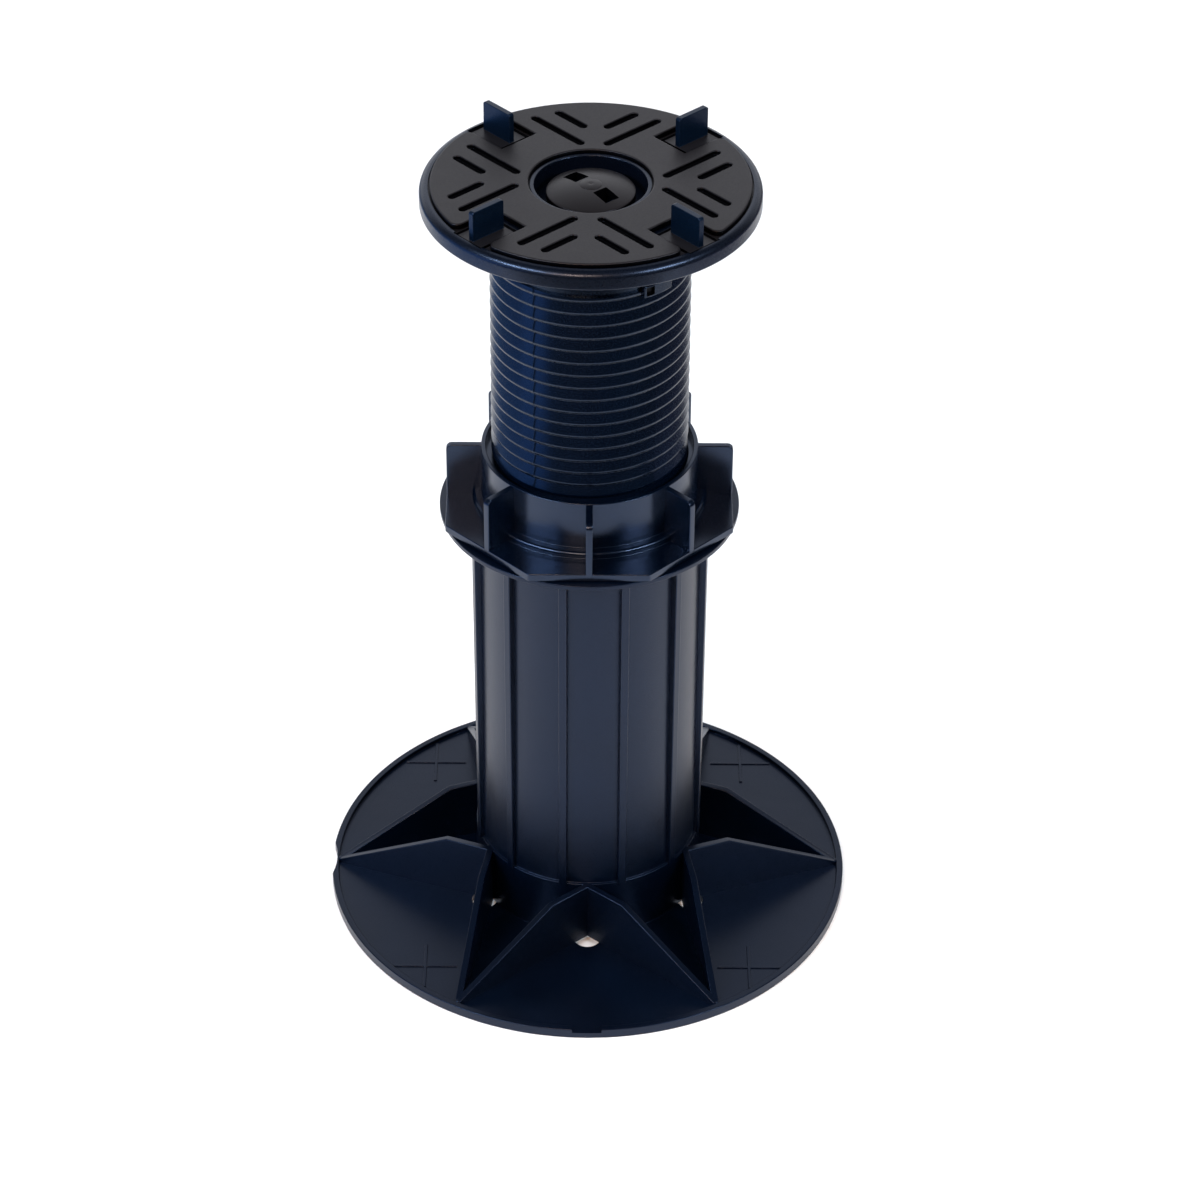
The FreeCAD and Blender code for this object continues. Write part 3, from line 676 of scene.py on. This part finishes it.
def adjusting_ring():
    body = fused(turned(ring_section, ring_angles()), copies_around(ring_fin, RING_FLATS))
    mouth_low = COLLAR_TOP - COLLAR_MOUTH_DEPTH
    high = mouth_low + REACH
    low = mouth_low - RING_THREAD_TURNS * THREAD_PITCH - REACH
    tool = threaded_bar(THREAD_ROOT + THREAD_CLEARANCE, THREAD_CREST + THREAD_CLEARANCE,
                        low, high, {})
    return cut(body, [tool])


# Stem

def stem_crown():
    """Spherical cap on the shoulder, hollow underneath, with the hole for the retainer's clips."""
    corners = sphere_arc(CROWN_RADIUS, CROWN_HOLE, CROWN_FOOT_RADIUS)
    corners += [(CROWN_FOOT_RADIUS, CROWN_LOW, 0.0)]
    corners += sphere_arc(CROWN_INNER, CROWN_INNER_FOOT, CROWN_HOLE)
    return revolved(corners)


def stem_hollow():
    """Bore of the tube and the room under the crown."""
    foot = STEM_BOTTOM - REACH
    corners = [(0.0, foot, 0.0), (STEM_BORE, foot, 0.0), (STEM_BORE, CROWN_LOW, 0.0)]
    corners += sphere_arc(CROWN_INNER, CROWN_INNER_FOOT, 0.0)
    return revolved(corners)


def stop_lug():
    """Block at the thread's end, curved like the tube."""
    root = THREAD_ROOT - STEM_TOP_WALL / 2.0
    spread_angle = math.degrees(STOP_LUG_WIDTH / THREAD_CREST)
    angles = [THREAD_END_ANGLE + spread_angle * i / LUG_STEPS for i in range(LUG_STEPS + 1)]
    outline = [(STOP_LUG_RADIUS, angle) for angle in angles]
    outline += [(root, angle) for angle in reversed(angles)]
    shape = bmesh.new()
    rows = []
    for z in (THREAD_TOP, THREAD_TOP + STOP_LUG_HEIGHT):
        rows.append([])
        for r, angle in outline:
            a = math.radians(angle)
            rows[-1].append(shape.verts.new((r * math.cos(a), r * math.sin(a), z)))
    edges = [shape.edges.get(pair) for face in (shape.faces.new(rows[0]), shape.faces.new(rows[1]))
             for pair in zip(face.verts[:LUG_STEPS], face.verts[1:LUG_STEPS + 1])]
    for j in range(len(outline)):
        k = (j + 1) % len(outline)
        face = shape.faces.new((rows[0][j], rows[0][k], rows[1][k], rows[1][j]))
        if j in (len(angles) - 1, len(outline) - 1):
            edges += list(face.edges)
    round_edges(shape, list(set(edges)), EDGE)
    return cut(solid(shape), [lug_pocket()])


def lug_pocket():
    """Square pocket beside the lug's first end."""
    along = LUG_POCKET_START + LUG_POCKET_WIDTH / 2.0
    middle = THREAD_END_ANGLE + math.degrees(along / THREAD_CREST)
    pocket = block(STOP_LUG_RADIUS - LUG_POCKET_DEPTH, STOP_LUG_RADIUS + REACH,
                   -LUG_POCKET_WIDTH / 2.0, LUG_POCKET_WIDTH / 2.0,
                   THREAD_TOP + LUG_POCKET_MARGIN, THREAD_TOP + STOP_LUG_HEIGHT - LUG_POCKET_MARGIN)
    return moved(pocket, angle=middle)


def threaded_stem():
    face = THREAD_TOP + THREAD_UNDERCUT + THREAD_RUNOUT
    bar = threaded_bar(THREAD_ROOT, THREAD_CREST, STEM_BOTTOM, face, PARTINGS)
    neck = revolved([(0.0, face - REACH, 0.0), (THREAD_ROOT, face - REACH, 0.0),
                     (THREAD_ROOT, SHOULDER, EDGE), (0.0, SHOULDER, 0.0)])
    body = cut(fused(bar, [neck]), [stem_hollow()])
    return fused(body, [stem_crown(), stop_lug()])


# Head plate

def head_shell():
    """Skin with the pad's seat, rounded rim, hub and the spherical web that rests on the crown."""
    low = HEAD_TOP - HEAD_RIM_HEIGHT
    under = HEAD_TOP - HEAD_SKIN
    rim_inner = HEAD_RADIUS - HEAD_RIM_WALL
    seat_inner = PAD_BORE - PAD_SEAT_CLEARANCE
    seat_outer = PAD_RADIUS + PAD_SEAT_CLEARANCE
    corners = [
        (HEAD_BORE, HEAD_TOP, EDGE), (seat_inner, HEAD_TOP, FINE_EDGE), (seat_inner, PAD_SEAT, 0.0),
        (seat_outer, PAD_SEAT, 0.0), (seat_outer, HEAD_TOP, FINE_EDGE),
        (HEAD_RADIUS, HEAD_TOP, HEAD_TOP_ROUNDING), (HEAD_RADIUS, low, EDGE * 2.0),
        (rim_inner, low, EDGE), (rim_inner, under, CREASE), (HUB_RADIUS, under, CREASE)]
    corners += sphere_arc(WEB_INNER, HUB_RADIUS, WEB_HOLE)
    corners += [on_sphere(WEB_OUTER, WEB_HOLE), on_sphere(WEB_OUTER, HEAD_BORE)]
    outline = rounded(corners[::-1], HEAD_ROUNDING_STEPS)
    return turned(lambda angle: outline)


def head_rib():
    half = HEAD_RIB_THICKNESS / 2.0
    return block(HEAD_BORE + HUB_WALL / 2.0, HEAD_RADIUS - HEAD_RIM_WALL / 2.0, -half, half,
                 HEAD_TOP - HEAD_RIM_HEIGHT + HEAD_RIB_SETBACK, HEAD_TOP - HEAD_SKIN / 2.0)


def tab_pocket():
    """Pocket for a tab's foot, its mouth slightly flared."""
    rings = []
    for z, flare in ((PAD_SEAT - TAB_FOOT_THICKNESS, 0.0), (PAD_SEAT - POCKET_FLARE, 0.0),
                     (PAD_SEAT, POCKET_FLARE), (HEAD_TOP + REACH, POCKET_FLARE)):
        x0 = TAB_FOOT_INNER - TAB_SEAT_CLEARANCE - flare
        x1 = TAB_FOOT_INNER + TAB_FOOT_LENGTH + TAB_SEAT_CLEARANCE + flare
        half = TAB_FOOT_WIDTH / 2.0 + TAB_SEAT_CLEARANCE + flare
        rings.append([(x0, -half, z), (x1, -half, z), (x1, half, z), (x0, half, z)])
    return loft(rings)


def tab_peg_hole():
    hole = disc(TAB_PEG_RADIUS + TAB_SEAT_CLEARANCE, HEAD_TOP - HEAD_SKIN - REACH, HEAD_TOP,
                segments=PEG_HOLE_SEGMENTS)
    return moved(hole, x=TAB_FOOT_INNER + TAB_FOOT_LENGTH / 2.0)


def head_plate():
    body = fused(head_shell(), copies_around(head_rib, HEAD_RIB_COUNT, HEAD_TURN))
    first = TAB_FIRST_ANGLE + HEAD_TURN
    pockets = copies_around(tab_pocket, TAB_COUNT, first)
    return cut(body, pockets + copies_around(tab_peg_hole, TAB_COUNT, first))


# Retainer

def dome_cap():
    corners = sphere_arc(DOME_OUTER, 0.0, DOME_RADIUS)
    rim = corners.pop()
    flat = on_sphere(DOME_INNER, DOME_FLAT_RADIUS)
    corners += [(rim[0], rim[1], EDGE), on_sphere(DOME_INNER, DOME_RADIUS)]
    corners += sphere_arc(DOME_INNER, DOME_RADIUS, DOME_FLAT_RADIUS)[1:]
    return revolved(corners + [(0.0, flat[1], 0.0)])


def clip_arm():
    """Flat arm down through head and crown, with a barb that catches under the crown."""
    half = CLIP_WIDTH / 2.0
    barb_reach = CLIP_OUTER + CLIP_BARB
    under_crown = on_sphere(CROWN_INNER, math.hypot(barb_reach, half))[1] - JOINT_GAP
    barb_low = under_crown - CLIP_BARB_HEIGHT
    tip = barb_low - CLIP_TIP
    root = on_sphere(DOME_INNER, DOME_FLAT_RADIUS)[1] + DOME_THICKNESS / 2.0
    return plate([
        (CLIP_INNER, tip, 0.0), (CLIP_OUTER, tip, 0.0),
        (barb_reach - CLIP_BARB_SLOPE, barb_low, 0.0),
        (barb_reach, under_crown - CLIP_BARB_HEIGHT / 2.0, 0.0), (barb_reach, under_crown, 0.0),
        (CLIP_OUTER, under_crown, 0.0), (CLIP_OUTER, root, 0.0), (CLIP_INNER, root, 0.0)],
        -half, half, 0.0)


def clip_window():
    half = CLIP_WIDTH / 2.0
    return block(CLIP_OUTER, CLIP_OUTER + CLIP_WINDOW, -half, half,
                 CENTRE + DOME_INNER - 2.0 * DOME_THICKNESS, CENTRE + DOME_OUTER + REACH)


def dome_gate():
    """Shallow disc on the dome's middle, with the small pin mark of its gate."""
    low = CENTRE + DOME_INNER + DOME_THICKNESS / 2.0
    edge = on_sphere(DOME_OUTER, DOME_GATE_RADIUS)[1] + DOME_GATE_STEP
    high = CENTRE + DOME_OUTER + DOME_GATE_RELIEF
    return revolved([
        (0.0, low, 0.0), (DOME_GATE_RADIUS, low, 0.0), (DOME_GATE_RADIUS, edge, DOME_GATE_STEP),
        (DOME_GATE_FLAT, high, 0.0), (DOME_GATE_PIN * 2.0, high, 0.0),
        (DOME_GATE_PIN, high - DOME_GATE_STEP, 0.0), (DOME_GATE_PIN, high, DOME_GATE_STEP),
        (0.0, high, 0.0)], even_angles(GATE_SEGMENTS))


def head_retainer():
    cap = cut(fused(dome_cap(), [dome_gate()]), copies_around(clip_window, CLIP_COUNT, CLIP_TURN))
    return fused(cap, copies_around(clip_arm, CLIP_COUNT, CLIP_TURN))


# Pieces that take their form from the frame, with their edges rounded

def rounded_copy(node, rounding):
    shape = bmesh.new()
    shape.from_mesh(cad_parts[node].data)
    bmesh.ops.remove_doubles(shape, verts=shape.verts, dist=COPY_WELD)
    bmesh.ops.dissolve_limit(shape, angle_limit=math.radians(COPY_FLAT_ANGLE),
                             verts=shape.verts, edges=shape.edges)
    mesh = bpy.data.meshes.new(node)
    shape.to_mesh(mesh)
    shape.free()
    piece = bpy.data.objects.new(node, mesh)
    bpy.context.scene.collection.objects.link(piece)
    bevel = piece.modifiers.new("rounding", "BEVEL")
    bevel.limit_method = "ANGLE"
    bevel.angle_limit = math.radians(COPY_EDGE_ANGLE)
    bevel.width = rounding * MM
    bevel.segments = ROUNDING_STEPS
    bevel.use_clamp_overlap = False
    apply_modifiers(piece)
    return piece


# Materials

# Scales of the slow changes of shade and of the flow waves, how far the gloss changes, how harsh
# the grain is, and the usual range of a noise value
CLOUD_SCALE = 28.0
WAVE_SCALE = 90.0
GLOSS_CHANGE = 0.06
GRAIN_HARSHNESS = 0.6
NOISE_RANGE = (0.3, 0.7)

# Of each plastic: its darker and its lighter shade, its gloss's tint, IOR and roughness, and, in
# millimetres, the size of its grain and the depths of the grain and of the flow waves
RUBBER = ((0.0044, 0.0040, 0.0044), (0.0070, 0.0063, 0.0070), (0.70, 0.69, 0.79))
PLASTICS = {
    "foot_plastic": ((0.0002, 0.0011, 0.0038), (0.0004, 0.0020, 0.0066), (0.30, 0.40, 0.66),
                     1.58, 0.32, 0.25, 0.010, 0.05),
    "ring_plastic": ((0.0002, 0.0010, 0.0034), (0.0004, 0.0020, 0.0064), (0.45, 0.61, 0.98),
                     1.59, 0.22, 0.25, 0.005, 0.04),
    "stem_plastic": ((0.0001, 0.0010, 0.0038), (0.0003, 0.0020, 0.0070), (0.40, 0.58, 0.90),
                     1.48, 0.25, 0.30, 0.005, 0.03),
    "head_plastic": ((0.0003, 0.0009, 0.0027), (0.0007, 0.0016, 0.0044), (0.52, 0.66, 1.0),
                     1.54, 0.30, 0.30, 0.005, 0.03),
    # Painted light: a lighter grey painted on the level seat faces and on the tops of the tabs'
    # feet
    "painted_lit_seat": ((0.0048, 0.0046, 0.0056), (0.0072, 0.0068, 0.0080), (0.60, 0.60, 0.70),
                     1.46, 0.38, 0.30, 0.008, 0.03),
    "dome_plastic": (*RUBBER, 1.40, 0.34, 0.30, 0.008, 0.03),
    "pad_rubber": (*RUBBER, 1.48, 0.44, 0.35, 0.016, 0.05),
    "tab_plastic": ((0.0004, 0.0026, 0.0075), (0.0007, 0.0042, 0.0115), (0.42, 0.56, 0.90),
                    1.46, 0.32, 0.25, 0.010, 0.03),
    # Painted shade: near black with almost no gloss, for faces in grooves, pockets, windows and
    # under skins
    "painted_recess_shade": ((0.0002, 0.0002, 0.0004), (0.0005, 0.0005, 0.0008), (0.08, 0.09, 0.12),
               1.46, 0.40, 0.30, 0.010, 0.03),
}


def shader_nodes(name):
    material = bpy.data.materials.new(name)
    material.use_nodes = True
    nodes = material.node_tree.nodes
    return material, nodes, material.node_tree.links, nodes["Principled BSDF"]


def noise(nodes, links, place, scale, detail, roughness=0.5):
    texture = nodes.new("ShaderNodeTexNoise")
    texture.inputs["Scale"].default_value = scale
    texture.inputs["Detail"].default_value = detail
    texture.inputs["Roughness"].default_value = roughness
    links.new(place, texture.inputs["Vector"])
    return texture.outputs["Fac"]


def ranged(nodes, links, value, before, after):
    """Maps a value from one range (low, high) onto another."""
    ramp = nodes.new("ShaderNodeMapRange")
    ramp.inputs["From Min"].default_value = before[0]
    ramp.inputs["From Max"].default_value = before[1]
    ramp.inputs["To Min"].default_value = after[0]
    ramp.inputs["To Max"].default_value = after[1]
    links.new(value, ramp.inputs["Value"])
    return ramp.outputs["Result"]


def spread(nodes, links, value, low, high):
    """Maps a noise value from its usual range onto low to high."""
    return ranged(nodes, links, value, NOISE_RANGE, (low, high))


def blended(nodes, links, factor, first, second):
    """Colour from the first, at a factor of 0, to the second, at 1."""
    mix = nodes.new("ShaderNodeMix")
    mix.data_type = "RGBA"
    mix.inputs["A"].default_value = (*first, 1.0)
    mix.inputs["B"].default_value = (*second, 1.0)
    links.new(factor, mix.inputs["Factor"])
    return mix.outputs["Result"]


def bumped(nodes, links, height, depth):
    bump = nodes.new("ShaderNodeBump")
    bump.inputs["Distance"].default_value = depth
    links.new(height, bump.inputs["Height"])
    return bump


def moulded(name, dark, light, tint, ior, roughness, grain, grain_depth, wave_depth):
    """Moulded plastic: slow changes of shade, fine changes of gloss, surface grain, flow waves."""
    material, nodes, links, shader = shader_nodes(name)
    place = nodes.new("ShaderNodeTexCoord").outputs["Object"]
    cloud = noise(nodes, links, place, CLOUD_SCALE, detail=3.0)
    speck = noise(nodes, links, place, 1.0 / (grain * MM), detail=2.0, roughness=GRAIN_HARSHNESS)
    wave = noise(nodes, links, place, WAVE_SCALE, detail=1.0)

    shade = blended(nodes, links, spread(nodes, links, cloud, 0.0, 1.0), dark, light)
    gloss = spread(nodes, links, speck, roughness - GLOSS_CHANGE, roughness + GLOSS_CHANGE)
    links.new(shade, shader.inputs["Base Color"])
    links.new(gloss, shader.inputs["Roughness"])

    grain_bump = bumped(nodes, links, speck, grain_depth * MM)
    wave_bump = bumped(nodes, links, wave, wave_depth * MM)
    links.new(grain_bump.outputs["Normal"], wave_bump.inputs["Normal"])
    links.new(wave_bump.outputs["Normal"], shader.inputs["Normal"])
    shader.inputs["IOR"].default_value = ior
    shader.inputs["Specular Tint"].default_value = (*tint, 1.0)
    return material


def floor_material():
    material, nodes, links, shader = shader_nodes("pale_floor")
    place = nodes.new("ShaderNodeTexCoord").outputs["Object"]
    fleck = noise(nodes, links, place, FLOOR_FLECK_SCALE, detail=4.0)
    shade = blended(nodes, links, spread(nodes, links, fleck, 0.0, 1.0), FLOOR_DARK, FLOOR_LIGHT)
    links.new(shade, shader.inputs["Base Color"])
    shader.inputs["Roughness"].default_value = FLOOR_ROUGHNESS
    shader.inputs["Specular IOR Level"].default_value = FLOOR_GLOSS
    return material


# Choice of a face's plastic, as its place in the piece's list, by the place of the face's centre

def on_stem(place):
    """The second, painted shade, is in the lug's pocket, between the thread's crest and the lug's
    face.
    """
    return int(THREAD_CREST + FINE_EDGE / 2.0 < place.xy.length < STOP_LUG_RADIUS - SHADE_PAINT_DROP)


def on_head(place):
    """The second, painted shade, is in the tabs' pockets, and the third, painted light, is on the
    pad's seat.
    """
    if not TAB_FOOT_INNER - 2.0 * REACH < place.xy.length < HEAD_RADIUS - HEAD_RIM_WALL:
        return 0
    if abs(place.z - PAD_SEAT) < FLUSH:
        return 2
    return int(PAD_SEAT - TAB_FOOT_THICKNESS - FLUSH < place.z < PAD_SEAT)


def on_pad(place):
    """The second, painted shade, is in the grooves, on the pad's upright walls and under it."""
    return int(place.z < PAD_TOP - SHADE_PAINT_DROP)


def on_dome(place):
    """The second, painted shade, is in the windows and on all that is under the dome's skin."""
    return int((place - Vector((0.0, 0.0, CENTRE))).length < DOME_OUTER - SHADE_PAINT_DROP)


def on_tab(place):
    """The first is on the blade, the second (painted light) on the foot's top, the third (painted
    shade) on its edges and below.
    """
    if place.z > PAD_SEAT + FLUSH:
        return 0
    return 1 if place.z > PAD_SEAT - FLUSH else 2


# The dressed pieces

plastics = {name: moulded(name, *look) for name, look in PLASTICS.items()}


def dress(piece, node, body, looks, choose=None):
    """Shades the piece with the named plastics. It stands for its node and rides its body."""
    piece.name = node + "_moulded"
    piece.data.name = piece.name
    piece.data.materials.clear()
    for look in looks:
        piece.data.materials.append(plastics[look])
    for polygon in piece.data.polygons:
        polygon.use_smooth = True
        if choose:
            polygon.material_index = choose(polygon.center / MM)
    piece.data.set_sharp_from_angle(angle=math.radians(SHARP_ANGLE))
    normals = piece.modifiers.new("normals", "WEIGHTED_NORMAL")
    normals.keep_sharp = True
    apply_modifiers(piece)
    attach(piece, body)
    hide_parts(node)


dress(base_foot(), "base_foot", "base", ["foot_plastic"])
dress(adjusting_ring(), "adjusting_ring", "ring", ["ring_plastic"])
dress(threaded_stem(), "threaded_stem", "stem", ["stem_plastic", "painted_recess_shade"],
      on_stem)
dress(head_plate(), "head_plate", "head", ["head_plastic", "painted_recess_shade", "painted_lit_seat"],
      on_head)
dress(head_retainer(), "head_retainer", "retainer", ["dome_plastic", "painted_recess_shade"],
      on_dome)
dress(rounded_copy("top_pad", PAD_EDGE), "top_pad", "head", ["pad_rubber", "painted_recess_shade"],
      on_pad)
for number in range(1, TAB_COUNT + 1):
    tab = "spacer_tab_%d" % number
    dress(rounded_copy(tab, FINE_EDGE), tab, "head", ["tab_plastic", "painted_lit_seat", "painted_recess_shade"],
          on_tab)


# Floor and cards

def level_sheet(name, x0, x1, y0, y1, z, material):
    mesh = bpy.data.meshes.new(name)
    mesh.from_pydata([(x0, y0, 0), (x1, y0, 0), (x1, y1, 0), (x0, y1, 0)], [], [(0, 1, 2, 3)])
    mesh.materials.append(material)
    sheet = bpy.data.objects.new(name, mesh)
    bpy.context.scene.collection.objects.link(sheet)
    sheet.location.z = z
    return sheet


def make_floor():
    w = FLOOR_HALF_WIDTH
    floor = level_sheet("floor", -w, w, -w, w, -FLOOR_DROP, floor_material())


def make_card(name, x0, x1, y0, y1, colour):
    """Coloured card on the floor, seen only in the object's gloss."""
    material, _, _, shader = shader_nodes(name)
    shader.inputs["Base Color"].default_value = (*colour, 1.0)
    shader.inputs["Roughness"].default_value = CARD_ROUGHNESS
    card = level_sheet(name, x0, x1, y0, y1, CARD_RISE, material)
    card.visible_camera = False
    card.visible_diffuse = False
    card.visible_shadow = False


# Lights

def make_world():
    world = bpy.data.worlds.new("studio")
    bpy.context.scene.world = world
    world.use_nodes = True
    nodes = world.node_tree.nodes
    links = world.node_tree.links
    background = nodes["Background"]
    parts = nodes.new("ShaderNodeSeparateXYZ")
    links.new(nodes.new("ShaderNodeTexCoord").outputs["Generated"], parts.inputs["Vector"])
    level = ranged(nodes, links, parts.outputs["Y"], WORLD_RISE, (WORLD_FRONT, WORLD_BACK))
    side = ranged(nodes, links, parts.outputs["X"], WORLD_SIDES, (0.0, 1.0))
    colour = blended(nodes, links, side, WORLD_LEFT, WORLD_RIGHT)
    links.new(colour, background.inputs["Color"])
    links.new(level, background.inputs["Strength"])


def soft_light(name, place, target, size, power, colour, glossy=True):
    """Rectangular lamp, in metres and watts, that the camera doesn't see."""
    light = bpy.data.lights.new(name, "AREA")
    light.shape = "RECTANGLE"
    light.size, light.size_y = size
    light.energy = power
    light.color = colour
    lamp = bpy.data.objects.new(name, light)
    lamp.location = place
    direction = Vector(target) - Vector(place)
    lamp.rotation_euler = direction.to_track_quat("-Z", "Y").to_euler()
    lamp.visible_glossy = glossy
    lamp.visible_camera = False
    bpy.context.scene.collection.objects.link(lamp)


# Camera

def make_camera():
    data = bpy.data.cameras.new("camera")
    data.sensor_fit = "HORIZONTAL"
    data.sensor_width = SENSOR_WIDTH
    data.lens = FOCAL_PIXELS / FRAME_PIXELS * SENSOR_WIDTH
    data.shift_x = (FRAME_PIXELS / 2.0 - CENTRE_PIXEL_X) / FRAME_PIXELS
    camera = bpy.data.objects.new("camera", data)
    camera.location = CAMERA_PLACE
    level = Euler((math.radians(90.0 - CAMERA_PITCH), 0.0, 0.0)).to_quaternion()
    camera.rotation_euler = (level @ Quaternion((0, 0, 1), math.radians(CAMERA_ROLL))).to_euler()
    bpy.context.scene.collection.objects.link(camera)
    bpy.context.scene.camera = camera


make_floor()
make_card("front_card", -CARD_FAR, CARD_FAR, -CARD_FAR, CARD_FRONT, FRONT_CARD)
make_card("left_card", -CARD_FAR, -CARD_SIDE, CARD_FRONT, CARD_FAR, LEFT_CARD)
make_card("right_card", CARD_SIDE, CARD_FAR, CARD_FRONT, CARD_FAR, RIGHT_CARD)
make_world()
soft_light("ceiling", place=(0.0, -0.1, 1.9), target=(0.0, 0.0, 0.0), size=(1.8, 1.5),
           power=27.0, colour=(1.0, 1.0, 1.0), glossy=False)
soft_light("left_fill", place=(-1.5, -0.5, 0.55), target=(0.0, 0.0, 0.1), size=(0.9, 0.7),
           power=8.0, colour=(0.92, 0.96, 1.0), glossy=False)
soft_light("right_fill", place=(1.5, -0.5, 0.55), target=(0.0, 0.0, 0.1), size=(0.9, 0.7),
           power=8.0, colour=(1.0, 0.98, 0.96), glossy=False)
soft_light("left_wall", place=(-1.5, -0.55, 0.30), target=(0.0, -0.55, 0.30), size=(1.9, 0.56),
           power=2.0, colour=(0.14, 0.38, 1.0))
soft_light("left_window", place=(-1.48, -0.75, 0.30), target=(0.0, -0.75, 0.30), size=(0.9, 0.56),
           power=1.8, colour=(0.18, 0.42, 1.0))
soft_light("left_strip", place=(-1.15, -0.95, 1.25), target=(0.0, 0.0, 0.3), size=(0.9, 0.12),
           power=24.0, colour=(0.72, 0.86, 1.0))
soft_light("right_strip", place=(1.15, -0.95, 1.25), target=(0.0, 0.0, 0.3), size=(0.7, 0.10),
           power=17.0, colour=(0.80, 0.90, 1.0))
soft_light("front_lamp", place=(-0.30, -1.45, 1.25), target=(0.0, 0.0, 0.3), size=(0.60, 0.08),
           power=14.0, colour=(1.0, 0.62, 0.38))
make_camera()
bpy.context.scene.view_settings.view_transform = "Standard"
